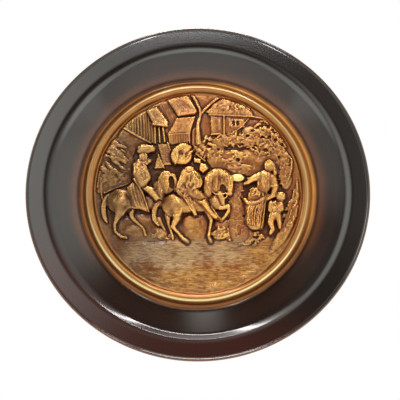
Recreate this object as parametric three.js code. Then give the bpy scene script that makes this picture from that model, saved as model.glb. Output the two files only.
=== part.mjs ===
// A round wall plate pressed from one sheet of copper. A village scene in high relief fills its
// middle, inside a round bead. The broad rim rises in a slope, a step and a flange to a rolled lip,
// and a small copper tab behind it hangs on a nail.
//
// Millimetres, +X right, +Z up. The wall is the plane y = 0 and the front faces -Y. The origin is
// the centre of the tab's hole.

import * as THREE from 'three';

// The sheet and the rings of the plate, from the middle outwards
const SHEET = 1.0;               // thickness of the copper
const PICTURE_RADIUS = 88.5;
const BEAD_WIDTH = 9.0;
const BEAD_RISE = 4.8;
const SEAT_WIDTH = 3.5;          // flat ring whose back lies on the wall
const SLOPE_WIDTH = 18.5;
const SLOPE_RISE = 9.6;
const STEP_WIDTH = 6.5;
const STEP_RISE = 3.6;
const FLANGE_WIDTH = 17.8;
const FLANGE_RISE = 0.8;
const LIP_RADIUS = 1.2;          // of the rolled edge's section
const LIP_DROP = 0.8;            // the roll's middle behind the flange's face

// The picture's heights
const PICTURE_EDGE = 2.5;        // the picture's outer edge, in front of the wall
const GROUND = 3.2;              // its open ground
const RELIEF_RISE = 0.85;        // one step of the drawing's heights
const SOFTNESS = 1.0;            // how far the drawing's edges are melted
const BACK_SMOOTHING = 3.5;      // how far the back's hollows are rounded over
const WALL_GAP = 0.3;            // least space between the picture's back and the wall

// The hanging tab
const TAB_SHEET = 1.2;
const TAB_WIDTH = 16;
const TAB_HOLE_RADIUS = 3.5;
const TAB_REACH = 12.0;          // from the seat's outer edge to the hole's centre
const SOLDER_GAP = 0.3;

// How finely the surface is divided
const SEGMENTS = 64;             // round each ring
const SQUARE_CELLS = 2 ** 8;     // along each side of the relief's grid, which is halved over and over
const FRONT_TOLERANCE = 0.85;
const BACK_TOLERANCE = 0.7;
const BEAD_STEPS = 5;
const STEP_STEPS = 2;
const LIP_STEPS = 6;
const TAB_STEPS = 10;

// The picture is drawn in hundredths of its radius, on a raster of heights
const SLAB_EDGE = 0.2;           // the share of a flat shape's height that its outline stands up
const FADE_RADIUS = 98;          // where the picture has run out into its edge
const FADE_WIDTH = 5;
const RASTER_STEP = 0.5;
const RASTER_HALF = 100 + 2 * SOFTNESS;
const RASTER_SIDE = Math.round(2 * RASTER_HALF / RASTER_STEP) + 1;
const UNIT = PICTURE_RADIUS / 100;

const SEAT_INNER = PICTURE_RADIUS + BEAD_WIDTH;
const SEAT_OUTER = SEAT_INNER + SEAT_WIDTH;
const HANGING_RADIUS = SEAT_OUTER + TAB_REACH;
const SLOPE_OUTER = SEAT_OUTER + SLOPE_WIDTH;
const STEP_OUTER = SLOPE_OUTER + STEP_WIDTH;
const LIP_CENTRE = STEP_OUTER + FLANGE_WIDTH;

const copper = new THREE.MeshStandardMaterial({ color: 0x8a5a36, roughness: 0.35, metalness: 1 });
const plainCopper = new THREE.MeshStandardMaterial({ color: 0xa9683f, roughness: 0.45, metalness: 1 });

const clamp = (value, low, high) => Math.min(Math.max(value, low), high);
const ease = (t) => clamp(t, 0, 1) ** 2 * (3 - 2 * clamp(t, 0, 1));

// A repeatable row of numbers between 0 and 1
function numbers(seed) {
  let state = seed * 7919 + 17;
  return () => {
    state = (state * 48271) % 2147483647;
    return state / 2147483647;
  };
}

// A smooth line through a few points, which may carry a radius as their third number
function curve(points, steps = 4, closed = false) {
  const at = (i) => (closed ? points[(i + points.length) % points.length]
    : points[clamp(i, 0, points.length - 1)]);
  const spans = closed ? points.length : points.length - 1;
  const line = [];
  for (let i = 0; i < spans; i++) {
    const [a, b, c, d] = [at(i - 1), at(i), at(i + 1), at(i + 2)];
    for (let s = 0; s < steps; s++) {
      const t = s / steps;
      line.push(b.map((_, k) => 0.5 * (2 * b[k] + (c[k] - a[k]) * t
        + (2 * a[k] - 5 * b[k] + 4 * c[k] - d[k]) * t ** 2
        + (3 * b[k] - a[k] - 3 * c[k] + d[k]) * t ** 3)));
    }
  }
  if (!closed) line.push(points[points.length - 1]);
  return line;
}

// Running mean over the raster, once along each row and once along each column
function blur(field, reach) {
  const k = Math.max(1, Math.round(reach / RASTER_STEP));
  let from = field;
  for (const [stride, across] of [[1, RASTER_SIDE], [RASTER_SIDE, 1]]) {
    const to = new Float64Array(field.length);
    for (let row = 0; row < RASTER_SIDE; row++) {
      const at = (i) => from[row * across + clamp(i, 0, RASTER_SIDE - 1) * stride];
      let sum = 0;
      for (let i = -k; i <= k; i++) sum += at(i);
      for (let i = 0; i < RASTER_SIDE; i++) {
        to[row * across + i * stride] = sum / (2 * k + 1);
        sum += at(i + k + 1) - at(i - k);
      }
    }
    from = to;
  }
  return from;
}

// A field's value between its four nearest raster points
function read(field, u, v) {
  const [x, y] = [(u + RASTER_HALF) / RASTER_STEP, (v + RASTER_HALF) / RASTER_STEP];
  const [i, j] = [Math.floor(x), Math.floor(y)];
  const [s, t] = [x - i, y - j];
  const k = j * RASTER_SIDE + i;
  return (1 - t) * ((1 - s) * field[k] + s * field[k + 1])
    + t * ((1 - s) * field[k + RASTER_SIDE] + s * field[k + RASTER_SIDE + 1]);
}

// Shapes of one figure or building, joined into one mass: heights above its own footing
class Form {
  constructor(softness) {
    this.softness = softness;
    this.height = new Float64Array(RASTER_SIDE ** 2);
  }

  // Raises each raster point of the window to what shape(u, v) gives, melting into what is there
  raise(us, vs, margin, shape) {
    const cell = (value) => clamp(Math.round((value + RASTER_HALF) / RASTER_STEP), 0, RASTER_SIDE - 1);
    for (let j = cell(Math.min(...vs) - margin); j <= cell(Math.max(...vs) + margin); j++) {
      for (let i = cell(Math.min(...us) - margin); i <= cell(Math.max(...us) + margin); i++) {
        const added = shape(i * RASTER_STEP - RASTER_HALF, j * RASTER_STEP - RASTER_HALF);
        const old = this.height[j * RASTER_SIDE + i];
        if (!(added > 0)) continue;
        const near = old > 0 ? Math.max(0, 1 - Math.abs(old - added) / this.softness) : 0;
        this.height[j * RASTER_SIDE + i] = Math.max(old, added) + near ** 2 * this.softness / 4;
      }
    }
  }

  // A domed oval
  ball([u, v], [wide, tall], rise, { turn = 0, power = 0.5, foot = 0 } = {}) {
    const [c, s] = [Math.cos(turn * Math.PI / 180), Math.sin(turn * Math.PI / 180)];
    this.raise([u], [v], Math.max(wide, tall), (x, y) => {
      const d = (((x - u) * c + (y - v) * s) / wide) ** 2 + (((y - v) * c - (x - u) * s) / tall) ** 2;
      return d < 1 ? foot + rise * (1 - d) ** power : 0;
    });
  }

  // A half-round limb along points of [u, v, radius]
  limb(points, flat = 0.8, foot = 0) {
    for (let i = 1; i < points.length; i++) {
      const [[u0, v0, r0], [u1, v1, r1]] = [points[i - 1], points[i]];
      const [du, dv] = [u1 - u0, v1 - v0];
      this.raise([u0, u1], [v0, v1], Math.max(r0, r1), (x, y) => {
        const t = clamp(((x - u0) * du + (y - v0) * dv) / (du * du + dv * dv), 0, 1);
        const left = (r0 + (r1 - r0) * t) ** 2 - (x - u0 - t * du) ** 2 - (y - v0 - t * dv) ** 2;
        return left > 0 ? foot + flat * UNIT * Math.sqrt(left) : 0;
      });
    }
  }

  // A flat shape inside an outline, with a bevelled edge
  slab(outline, rise, bevel = 1) {
    this.raise(outline.map((p) => p[0]), outline.map((p) => p[1]), 0, (x, y) => {
      let inside = false;
      let near = Infinity;
      outline.forEach(([u0, v0], i) => {
        const [u1, v1] = outline[(i + 1) % outline.length];
        const [du, dv] = [u1 - u0, v1 - v0];
        const t = clamp(((x - u0) * du + (y - v0) * dv) / (du * du + dv * dv || 1), 0, 1);
        near = Math.min(near, Math.hypot(x - u0 - t * du, y - v0 - t * dv));
        if ((v0 > y) !== (v1 > y) && x < u0 + (y - v0) * du / dv) inside = !inside;
      });
      return inside ? rise * (SLAB_EDGE + (1 - SLAB_EDGE) * ease(near / bevel)) : 0;
    });
  }

  // Leaf clumps strewn over an oval
  clumps([u, v], [wide, tall], count, size, rise, seed) {
    const next = numbers(seed);
    for (let n = 0; n < count; n++) {
      const [angle, out] = [2 * Math.PI * next(), Math.sqrt(next())];
      const place = [u + wide * out * Math.cos(angle), v + tall * out * Math.sin(angle)];
      this.ball(place, [size * (0.8 + 0.5 * next()), size * 0.6], rise * (0.7 + 0.6 * next()),
        { turn: 180 * next(), foot: 0.4 });
    }
  }
}

// The whole picture: forms are stood on it from the back to the front
class Picture {
  constructor() {
    this.height = new Float64Array(RASTER_SIDE ** 2);
  }

  form(softness = 0.3) {
    return new Form(softness);
  }

  // Sets a form at a level, with a groove of that depth round its outline
  stand(form, level, groove = 1.2, reach = 2) {
    const around = blur(blur(form.height.map((h) => (h > 0 ? 1 : 0)), reach), reach);
    const atOutline = 0.45;        // what is left of the mask there once it is blurred
    form.height.forEach((h, i) => {
      const cut = groove * Math.min(1, around[i] / atOutline);
      this.height[i] = h > 0 ? level + h : this.height[i] - cut;
    });
  }

  // Melts the edges, and lets the picture run out into the hollow inside the bead
  finish() {
    const soft = blur(blur(this.height, SOFTNESS), SOFTNESS);
    this.height = soft.map((h, i) => {
      const u = (i % RASTER_SIDE) * RASTER_STEP - RASTER_HALF;
      const v = Math.floor(i / RASTER_SIDE) * RASTER_STEP - RASTER_HALF;
      const inner = ease((FADE_RADIUS - Math.hypot(u, v)) / FADE_WIDTH);
      return (GROUND + RELIEF_RISE * h) * inner + PICTURE_EDGE * (1 - inner);
    });
    return this;
  }
}

function leftHill(picture) {
  const hill = picture.form();
  hill.slab(curve([[-98, 33], [-90, 47], [-79, 54], [-69, 46], [-62, 30], [-63, 10], [-70, 6],
    [-91, -2], [-101, 4]], 3, true), 1.0, 4.5);
  picture.stand(hill, 0.5, 0.9);
  const bush = picture.form();
  bush.slab(curve([[-96, 14], [-80, 17], [-66, 17], [-65, 8], [-91, -2], [-98, 0]], 3, true), 0.7, 4);
  bush.clumps([-82, 33], [11, 16], 26, 4.2, 1.2, 5);
  bush.clumps([-82, 13], [9, 5], 9, 3.2, 1.1, 6);
  picture.stand(bush, 0.9, 0.6);
  const poles = picture.form();
  poles.limb([[-93.6, 12.9, 1], [-93, -1.7, 1], [-91.1, -11.2, 0.9]], 1.2);
  poles.limb([[-90.4, -2.4, 0.9], [-78.9, 2.7, 0.9], [-67.5, 6.8, 0.8]], 0.9);
  picture.stand(poles, 1.2, 0.5);
}

function leftHouses(picture) {
  const wall = picture.form();
  wall.slab([[-75.4, 63.8], [-46, 48.8], [-44.5, 46.6], [-56, 46.6], [-63.2, 35.6], [-78.9, 54.6]], 0.6, 1.5);
  picture.stand(wall, 0.5, 0.5);
  const planks = picture.form();
  planks.slab([[-72.4, 67], [-63.2, 77], [-51, 82.4], [-43.1, 65.6], [-41.4, 46.3], [-48.1, 48.8],
    [-71.8, 62.4]], 1.2, 1.5);
  picture.stand(planks, 1.2, 0.6);
  const beam = picture.form();
  beam.limb([[-73.8, 63.8, 1], [-63.2, 57.5, 1.2], [-46.2, 47.7, 1.1]], 1.4);
  picture.stand(beam, 1.9, 0.9);
  const gable = picture.form();
  gable.slab([[-38.8, 90.4], [-31.6, 93.4], [-19.4, 75.8], [-30.2, 56.8], [-38.8, 67],
    [-51, 81.4]], 0.7, 1.2);
  picture.stand(gable, 0.9, 0.6);
  const upperThatch = picture.form();
  upperThatch.slab([[-32, 93.7], [-20.1, 99], [-10.4, 98], [0.2, 80.2], [-2.6, 77], [-19.6, 74.7]], 1.6, 1.4);
  picture.stand(upperThatch, 1.6, 1.3);
  const lowerThatch = picture.form();
  lowerThatch.slab([[-21.6, 73.6], [-2.4, 75.5], [-7.2, 58.6], [-30.2, 56.8]], 1.1, 1.2);
  picture.stand(lowerThatch, 1.4);
  const balcony = picture.form();
  balcony.slab([[-30.2, 57.1], [-7.2, 58.6], [-6.7, 49.2], [-26.5, 45.8]], 0.7, 0.8);
  for (let u = -27; u < -6; u += 5) balcony.limb([[u, 56, 0.8], [u, 48, 0.8]], 1.3, 0.5);
  picture.stand(balcony, 1.0, 0.8);
  const posts = picture.form();
  posts.limb([[-42.1, 65.6, 1.2], [-41.4, 47.7, 1.2]], 1.3);
  posts.limb([[-34.5, 65.9, 1.3], [-32.3, 49.5, 1.3]], 1.3);
  picture.stand(posts, 1.6, 1.6);
  const porch = picture.form();
  porch.slab([[-51.3, 81.4], [-39.9, 85.6], [-28, 68.2], [-30.2, 65], [-44, 66.5]], 2.0, 1.2);
  picture.stand(porch, 2.3, 1.5);
}

function stairs(picture) {
  const flight = picture.form();
  flight.slab([[-39.1, 46.6], [-28, 48.3], [-25.6, 25.5], [-33.6, 24.9]], 0.6, 0.8);
  const treads = 8;
  for (let n = 0; n < treads; n++) {
    const t = (n + 0.5) / treads;
    flight.limb([[-38.8 + 5.3 * t, 46.3 - 20.8 * t, 0.9], [-28 + 2.1 * t, 47.7 - 21.9 * t, 0.9]], 1.2, 0.5);
  }
  picture.stand(flight, 1.0, 0.9);
  const stringer = picture.form();
  stringer.slab([[-39.1, 36.3], [-32.2, 22.3], [-43.1, 21.7]], 1.2, 1);
  stringer.limb([[-29.5, 48.6, 0.9], [-26.5, 40.1, 0.8]], 1.4);
  picture.stand(stringer, 1.4, 0.9);
}

function rightHouse(picture) {
  const wall = picture.form();
  wall.slab([[11.7, 77], [50.1, 74.9], [37.2, 59.7], [27.2, 53.2], [12.8, 56.8]], 0.6, 1);
  wall.slab([[29.3, 72.9], [46.1, 73.2], [46.1, 63.8], [29.3, 63.8]], 1.4, 1.2);
  picture.stand(wall, 0.8, 0.7);
  const thatch = picture.form();
  thatch.slab([[6.8, 79.9], [20, 91.9], [30.1, 96.6], [45.8, 86.1], [54.7, 75.5], [11.7, 77]], 1.4, 1.4);
  thatch.clumps([37, 86], [11, 5], 10, 3, 1.6, 22);
  picture.stand(thatch, 1.5, 1.3);
  const timbers = picture.form();
  timbers.limb([[10.7, 77, 0.9], [31.5, 76.1, 1], [52.3, 75.1, 1], [68.8, 72.6, 0.8]], 1.4);
  timbers.limb([[25.5, 75.5, 1], [25.8, 56.1, 1]], 1.3);
  timbers.limb([[49.4, 72.9, 0.9], [35.1, 59, 0.9], [27.2, 53.2, 0.9]], 1.3);
  picture.stand(timbers, 1.7, 1.3);
}

function foliage(picture) {
  const bush = picture.form(1);
  const masses = [[23, 49, 10, 6], [35, 51, 11, 6], [49, 51, 12, 8], [64, 47, 12, 10], [76, 39, 10, 12],
    [18, 39, 9, 7], [31, 33, 14, 9], [49, 33, 13, 9], [62, 29, 12, 9], [23, 26, 12, 7], [37, 22, 14, 7],
    [53, 20, 12, 6], [82, 28, 9, 13], [85, 13, 7, 12], [63, 57, 12, 7], [74, 51, 10, 7], [31, 13, 9, 6]];
  for (const [u, v, wide, tall] of masses) bush.ball([u, v], [wide, tall], 1.6, { power: 0.6, foot: 0.25 });
  picture.stand(bush, 0.6, 0.8);
  const leaves = picture.form();
  leaves.clumps([39, 51], [20, 6], 16, 3, 1.2, 31);
  leaves.clumps([66, 49], [20, 14], 34, 3, 1.3, 32);
  leaves.clumps([80, 25], [8, 19], 20, 3, 1.2, 33);
  leaves.clumps([8, 44], [10, 8], 10, 3, 1.0, 37);
  picture.stand(leaves, 1.0, 0.5, 1);
  const branch = picture.form();
  branch.limb([[86.7, 36.3, 1.1], [91, 31.2, 1.2], [90.6, 21.7, 1.2], [85.3, 7.1, 1]], 1.2);
  picture.stand(branch, 2.0, 1.3);
}

function tree(picture) {
  const trunk = picture.form();
  trunk.limb([[1.7, 42.2, 3.8], [0.2, 53.9, 2.9], [-0.1, 67, 2.2], [2.4, 77, 2], [1.7, 83.1, 2],
    [-5.8, 98, 1.7]], 0.8, 0.3);
  trunk.limb([[3.1, 78.7, 1.7], [10, 86.1, 1.7], [23.6, 97.5, 1.3]], 0.8, 0.3);
  picture.stand(trunk, 1.6, 1.6, 2.6);
  const crates = picture.form();
  crates.slab([[-5.2, 33.4], [3.4, 31.7], [3.1, 27], [-4.1, 27.6]], 1.6, 1.2);
  crates.slab([[1.7, 27.9], [8.5, 26.7], [11.4, 21.7], [5, 16.2], [0.2, 20.3]], 2.2, 1.6);
  picture.stand(crates, 1.6, 1.4);
}

function ground(picture) {
  const mounds = picture.form(1);
  mounds.slab(curve([[-77.5, -25], [-59, -22], [-43, -25], [-28, -47], [-77.5, -48],
    [-80, -37]], 3, true), 1, 6);
  mounds.slab(curve([[-14.4, -25], [8.5, -23.6], [5.7, -47], [-8.7, -47]], 3, true), 1, 6);
  picture.stand(mounds, 0.2, 0.5);
  const scrub = picture.form();
  scrub.clumps([30, -42], [15, 6], 14, 3.2, 1.6, 51);
  scrub.clumps([52, -47], [14, 6], 12, 3.2, 1.3, 52);
  scrub.clumps([36, -21], [6, 15], 12, 3.2, 1.5, 54);
  picture.stand(scrub, 0.6, 0.6);
  const bank = picture.form();
  bank.slab(curve([[96, 13], [98, -10], [94, -29], [83, -49], [68, -62], [72, -48], [84, -28], [92, -2]],
    3, true), 1.0, 3);
  bank.clumps([90, -21], [4, 18], 10, 3, 1.2, 55);
  picture.stand(bank, 1.0, 1.3);
}

function stumpAndTray(picture) {
  const stump = picture.form(0.8);
  stump.limb([[37.2, 8.6, 6.7], [36.7, -4.6, 5.4], [37.2, -28, 5.2], [37.9, -42.6, 6.7]], 0.3, 0.4);
  picture.stand(stump, 1.1, 0.9);
  const tray = picture.form();
  tray.ball([38.1, 12.5], [7.2, 4.3], 1.5, { power: 0.3 });
  picture.stand(tray, 2.2, 1.1);
}

function leftHorse(picture) {
  const tail = picture.form(0.6);
  tail.limb(curve([[-81.8, -3.4, 2.3], [-87.3, -7.5, 2.9], [-90, -16.3, 2.9], [-86.8, -30.9, 1.6]]), 0.8);
  picture.stand(tail, 1.4, 1.1);
  const farLeg = picture.form(0.8);
  farLeg.limb(curve([[-63.5, -18.5, 3.8], [-63.2, -25.8, 2.5], [-57.4, -32.1, 1.7],
    [-49.7, -43.8, 1.6]]), 0.9);
  picture.stand(farLeg, 1.3);
  const body = picture.form(1.6);
  body.limb([[-72.9, -13.4, 10.1], [-74.4, -20.7, 5.8], [-77.5, -28.7, 2.6]], 0.62, 0.3);
  body.limb([[-77.5, -28.7, 2.5], [-79.5, -33.8, 1.9], [-78.7, -40, 1.6], [-73.5, -45.2, 1.7],
    [-67.8, -46.4, 1.7]], 0.9);
  body.ball([-73.8, -10.7], [13.9, 12.7], 3.3, { power: 0.55 });
  body.limb([[-71.8, -9.7, 10.1], [-61.7, -10.7, 8.1], [-47.4, -12.2, 7.5]], 0.5, 0.3);
  picture.stand(body, 1.5, 1.5, 2.4);
  const blanket = picture.form();
  blanket.slab([[-68.6, 2.7], [-63.2, 7.8], [-56.7, 6.4], [-51.7, -0.2], [-46, -22.9], [-63.2, -16.3],
    [-66.8, -6.1]], 1.0, 2);
  picture.stand(blanket, 3.9, 0.9);
  const neck = picture.form();
  neck.ball([-30.9, 7.8], [9.4, 12.3], 3.0, { power: 0.6 });
  neck.limb([[-38.8, 4.2, 5.5], [-37.6, -3.1, 6.1], [-35.9, -11.9, 4.3]], 0.6, 0.4);
  picture.stand(neck, 1.9, 1.3);
}

function leftRider(picture) {
  const leg = picture.form();
  leg.limb([[-51, 2.7, 3.2], [-44.5, -1.7, 4.1], [-38.8, -9, 3.2], [-35.6, -10.2, 2]], 0.85, 0.3);
  picture.stand(leg, 4.2);
  const coat = picture.form();
  coat.limb([[-58.9, 24.6, 3.8], [-56.7, 15.9, 6.1], [-54.3, 8.6, 5.2]], 0.8, 0.5);
  coat.limb([[-56, 27.6, 4.1], [-50.3, 27.6, 3.8]], 0.7, 0.6);
  coat.limb([[-56.7, 23.5, 2.9], [-51, 18.8, 3.9], [-47.4, 12.2, 2.9], [-53.1, 4.6, 1.7]], 0.95, 1.3);
  picture.stand(coat, 3.6, 1.5);
  const head = picture.form();
  head.ball([-52.8, 33.1], [4.9, 5.2], 2.1);
  picture.stand(head, 4.2);
  const hat = picture.form();
  hat.ball([-51, 39.3], [8.4, 3.2], 1.2, { power: 0.4, turn: 4 });
  hat.ball([-53.8, 41.8], [4.9, 3.9], 2.2);
  hat.ball([-44.5, 41], [3.9, 3.8], 2.6);
  picture.stand(hat, 4.8, 1.3);
  const sword = picture.form();
  sword.limb([[-61.9, 10.6, 1], [-52.8, -3.9, 1], [-46.7, -21.6, 1]], 1.3);
  picture.stand(sword, 5.4, 0.8, 1);
}

function rightHorse(picture) {
  const far = picture.form(0.6);
  far.limb([[-28.7, -23.6, 3.8], [-28, -32.4, 2], [-25.6, -39.7, 1.4], [-23.7, -47, 1.6]], 0.85);
  picture.stand(far, 1.6, 1.3);
  const tail = picture.form(0.6);
  tail.limb(curve([[-36.2, -12.2, 2.6], [-40.5, -16.3, 2.9], [-41.9, -23.6, 2.6], [-37.6, -34.1, 1.6]]), 0.8);
  picture.stand(tail, 2.4, 1.4);
  const body = picture.form(1.6);
  body.ball([-23.9, -15.1], [10.9, 11.6], 3.6, { power: 0.55 });
  body.limb([[-20.1, -14.8, 9], [-7.2, -14.8, 7.2], [7.1, -14.1, 7.2]], 0.55, 0.3);
  body.limb([[-19.9, -21.4, 6.1], [-20.1, -27.3, 4.1], [-23.7, -36, 2.3], [-18.4, -41.9, 1.7],
    [-14.4, -47, 1.9], [-9.8, -50.2, 2.2]], 0.9, 0.2);
  body.limb([[8.5, -17, 4.9], [11.4, -23.6, 3.5], [12.8, -29.5, 2], [11.4, -38.2, 1.4],
    [10.3, -45.2, 1.7], [12.3, -49.9, 2.3]], 0.9, 0.2);
  picture.stand(body, 2.1, 1.6, 2.4);
  const chest = picture.form();
  chest.ball([16.9, -11.6], [7.5, 8.1], 3.4, { power: 0.55 });
  chest.limb([[21.5, -17, 3.2], [29.3, -15.1, 2], [29.3, -20.7, 1.9], [22.2, -29.5, 1.9]], 0.9, 0.3);
  picture.stand(chest, 2.3, 1.4);
  const neck = picture.form();
  neck.ball([18.9, 8.9], [11, 12.2], 3.2, { power: 0.55 });
  neck.limb([[10, 4.2, 4.3], [10.7, -3.1, 4.3], [12.8, -7.5, 3.5]], 0.6, 0.5);
  neck.limb(curve([[9, 6.4, 1.2], [9.3, 14.4, 1.6], [18.6, 20.3, 1.8], [27.9, 14.4, 1.2]]), 0.8, 2);
  picture.stand(neck, 2.6, 1.5);
}

function rightRider(picture) {
  const skirt = picture.form();
  skirt.slab([[-22.3, 2], [-14.4, 4.9], [-7.2, -1.7], [-0.1, -25.1], [-3.6, -25.8], [-20.1, -3.9]], 0.8, 1.5);
  picture.stand(skirt, 4.6, 1.1);
  const boot = picture.form();
  boot.slab([[-5.8, -7.5], [-0.1, -3.4], [7.1, -5.3], [10.3, -9], [5.7, -14.1], [-0.1, -14.8]], 1.5, 2);
  boot.limb([[4.2, -10.4, 4.6], [8.5, -17, 2.9], [12.7, -23, 2.2], [17.1, -27.3, 1.9]], 0.95, 0.5);
  picture.stand(boot, 4.7);
  const jacket = picture.form();
  jacket.slab([[-21.6, 2.7], [-14.4, 6.4], [2.8, -0.2], [9.3, -8.3], [2.8, -11.9], [-14.4, -4.6]], 1.4, 2.5);
  jacket.ball([-5.8, 9.7], [9.6, 10.4], 3.0);
  jacket.ball([-0.1, 7.4], [4.9, 6.7], 3.6);
  jacket.limb([[-12.3, 17.6, 3.8], [-14.7, 9.3, 3.8], [-18.4, 3.4, 2.6]], 0.8, 0.6);
  picture.stand(jacket, 4.2, 1.6);
  const collar = picture.form();
  collar.ball([-8.4, 20.3], [4.9, 3.5], 1.6);
  picture.stand(collar, 5.2, 0.9);
  const hat = picture.form();
  hat.ball([-17, 34], [10.1, 9], 1.4, { power: 0.35, turn: 35 });
  hat.ball([-14.4, 28.7], [4.6, 4.3], 2.7);
  hat.limb(curve([[-22.3, 27.6, 2], [-23, 33.4, 2.6], [-18.7, 40, 2.9], [-7.2, 42.9, 1.6]]), 0.9, 0.9);
  picture.stand(hat, 5.2, 1.7, 2.4);
}

function womanAndChild(picture) {
  const skirt = picture.form();
  skirt.slab(curve([[46, -12], [63, -9], [68, -16], [66, -32], [53, -32], [43.7, -31],
    [43, -21]], 3, true), 2.2, 5);
  picture.stand(skirt, 1.6, 1.4);
  const apron = picture.form();
  apron.ball([58.7, -2.8], [9, 6.4], 2.6, { turn: 35 });
  apron.limb([[44.4, -8.7, 1.9], [47.3, -12.2, 2.2], [53, -13.1, 2], [66.6, -8.3, 1.7]], 0.9, 0.6);
  picture.stand(apron, 3.0);
  const bodice = picture.form();
  bodice.ball([64.5, 10.8], [7.5, 8], 2.8);
  bodice.limb([[58.7, 12.9, 3.2], [52.3, 8.9, 2.3], [46.4, 7.7, 1.6]], 0.95, 0.6);
  bodice.limb([[71.7, 12.2, 3.2], [73.9, 4.9, 2.8], [71.7, -3.1, 2.5], [69.5, -9, 2]], 0.95, 0.4);
  picture.stand(bodice, 3.1, 1.5);
  const head = picture.form();
  head.ball([68.2, 24.9], [4.8, 5.5], 2.6);
  picture.stand(head, 3.5, 1.4);
  const child = picture.form();
  child.limb([[69.9, -27.3, 3.5], [67.6, -31.7, 2], [71.4, -39.7, 1.7], [68.1, -43.5, 1.6]], 0.9, 0.2);
  child.limb([[75.7, -27.3, 2.9], [78.1, -36.8, 1.4]], 0.9, 0.2);
  child.ball([73.8, -19.2], [6.1, 7.2], 2.6);
  child.limb([[69.5, -16.3, 2.2], [68.5, -22.9, 1.7]], 0.95, 0.5);
  child.limb([[78.1, -14.8, 2.2], [79.1, -20.7, 1.7]], 0.95, 0.5);
  picture.stand(child, 2.8, 1.7, 2.6);
  const childHead = picture.form();
  childHead.ball([78.8, -7.8], [4.6, 4.9], 2.4);
  picture.stand(childHead, 3.3, 1.3);
}

function drawPicture() {
  const picture = new Picture();
  const scene = [leftHill, leftHouses, rightHouse, foliage, tree, stairs, ground, stumpAndTray,
    leftHorse, leftRider, rightHorse, rightRider, womanAndChild];
  for (const add of scene) add(picture);
  return picture.finish().height;
}

// The sheet's hollow back: under the lowest metal nearby, smoothed, one sheet thinner, off the wall
function hollowBack(front) {
  const k = Math.round(BACK_SMOOTHING / RASTER_STEP);
  let low = front;
  for (const stride of [1, RASTER_SIDE]) {
    low = low.map((_, i) => {
      let least = Infinity;
      for (let n = -k; n <= k; n++) least = Math.min(least, low[clamp(i + n * stride, 0, low.length - 1)]);
      return least;
    });
  }
  const soft = blur(blur(low, BACK_SMOOTHING / 2), BACK_SMOOTHING / 2);
  return soft.map((h) => Math.max(WALL_GAP, h - SHEET));
}

// A point of the square from -1 to 1 laid on the round picture, rings for squares
function onDisc(x, y) {
  if (x === 0 && y === 0) return [0, 0];
  const wide = Math.abs(x) > Math.abs(y);
  const radius = wide ? x : y;
  const angle = wide ? (Math.PI / 4) * (y / x) : Math.PI / 2 - (Math.PI / 4) * (x / y);
  return [100 * radius * Math.cos(angle), 100 * radius * Math.sin(angle)];
}

// Halves right-angled triangles wherever the sheet strays from them by more than the tolerance, and
// everywhere along the rim, so that the disc ends in a nearly even ring
function divideDisc(depth, tolerance) {
  const side = SQUARE_CELLS + 1;
  const spots = [];
  for (let j = 0; j < side; j++) {
    for (let i = 0; i < side; i++) {
      const [u, v] = onDisc(2 * i / SQUARE_CELLS - 1, 2 * j / SQUARE_CELLS - 1);
      spots.push([u * UNIT, v * UNIT, read(depth, u, v)]);
    }
  }
  const ringStep = 4 * SQUARE_CELLS / SEGMENTS;
  const stray = new Float64Array(side * side);
  for (let i = 0; i <= SQUARE_CELLS; i += ringStep) {
    for (const spot of [i, i * side, (side - 1) * side + i, i * side + side - 1]) stray[spot] = Infinity;
  }
  const [a0, b0] = [0, side * side - 1];
  const levels = [[[a0, b0, side - 1], [b0, a0, side * (side - 1)]]];
  for (let n = 1; n < 2 * Math.log2(SQUARE_CELLS); n++) {
    levels.push(levels[n - 1].flatMap(([a, b, c]) => [[c, a, (a + b) / 2], [b, c, (a + b) / 2]]));
  }
  for (let n = levels.length - 1; n >= 0; n--) {
    for (const [a, b, c] of levels[n]) {
      const middle = (a + b) / 2;
      const own = Math.abs(spots[middle][2] - (spots[a][2] + spots[b][2]) / 2);
      const below = n + 1 < levels.length ? Math.max(stray[(a + c) / 2], stray[(b + c) / 2]) : 0;
      stray[middle] = Math.max(stray[middle], own, below);
    }
  }
  const triangles = [];
  let open = levels[0];
  for (let n = 0; n < levels.length; n++) {
    const next = [];
    for (const [a, b, c] of open) {
      const middle = (a + b) / 2;
      if (stray[middle] > tolerance) next.push([c, a, middle], [b, c, middle]);
      else triangles.push([a, b, c]);
    }
    open = next;
  }
  return { spots, triangles: triangles.concat(open) };
}

// The front of the rim's section from the picture's edge to the lip, as [radius, depth]
function rimFront() {
  const front = [];
  for (let n = 0; n <= BEAD_STEPS; n++) {
    const t = n / BEAD_STEPS;
    const arch = Math.sqrt(1 - (2 * t - 1) ** 2);
    const foot = PICTURE_EDGE + (SHEET - PICTURE_EDGE) * t;
    front.push([PICTURE_RADIUS + BEAD_WIDTH * t, foot + BEAD_RISE * arch]);
  }
  front.push([SEAT_OUTER, SHEET]);
  for (let n = 0; n <= STEP_STEPS; n++) {
    const t = n / STEP_STEPS;
    front.push([SLOPE_OUTER + STEP_WIDTH * t, SHEET + SLOPE_RISE + STEP_RISE * ease(t)]);
  }
  return front;
}

// The same section set back by the sheet's thickness
function setBack(front) {
  return front.map(([radius, depth], i) => {
    const [before, after] = [front[Math.max(i - 1, 0)], front[Math.min(i + 1, front.length - 1)]];
    const normals = [[before, [radius, depth]], [[radius, depth], after]]
      .map(([p, q]) => [p[1] - q[1], q[0] - p[0]])
      .filter(([x, y]) => Math.hypot(x, y) > 0)
      .map(([x, y]) => [x / Math.hypot(x, y), y / Math.hypot(x, y)]);
    if (i === 0) return [radius, depth - SHEET];
    const last = normals[normals.length - 1];
    const [x, y] = [normals[0][0] + last[0], normals[0][1] + last[1]];
    const reach = 2 * SHEET / (x * x + y * y);
    return [radius - x * reach, depth - y * reach];
  });
}

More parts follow.
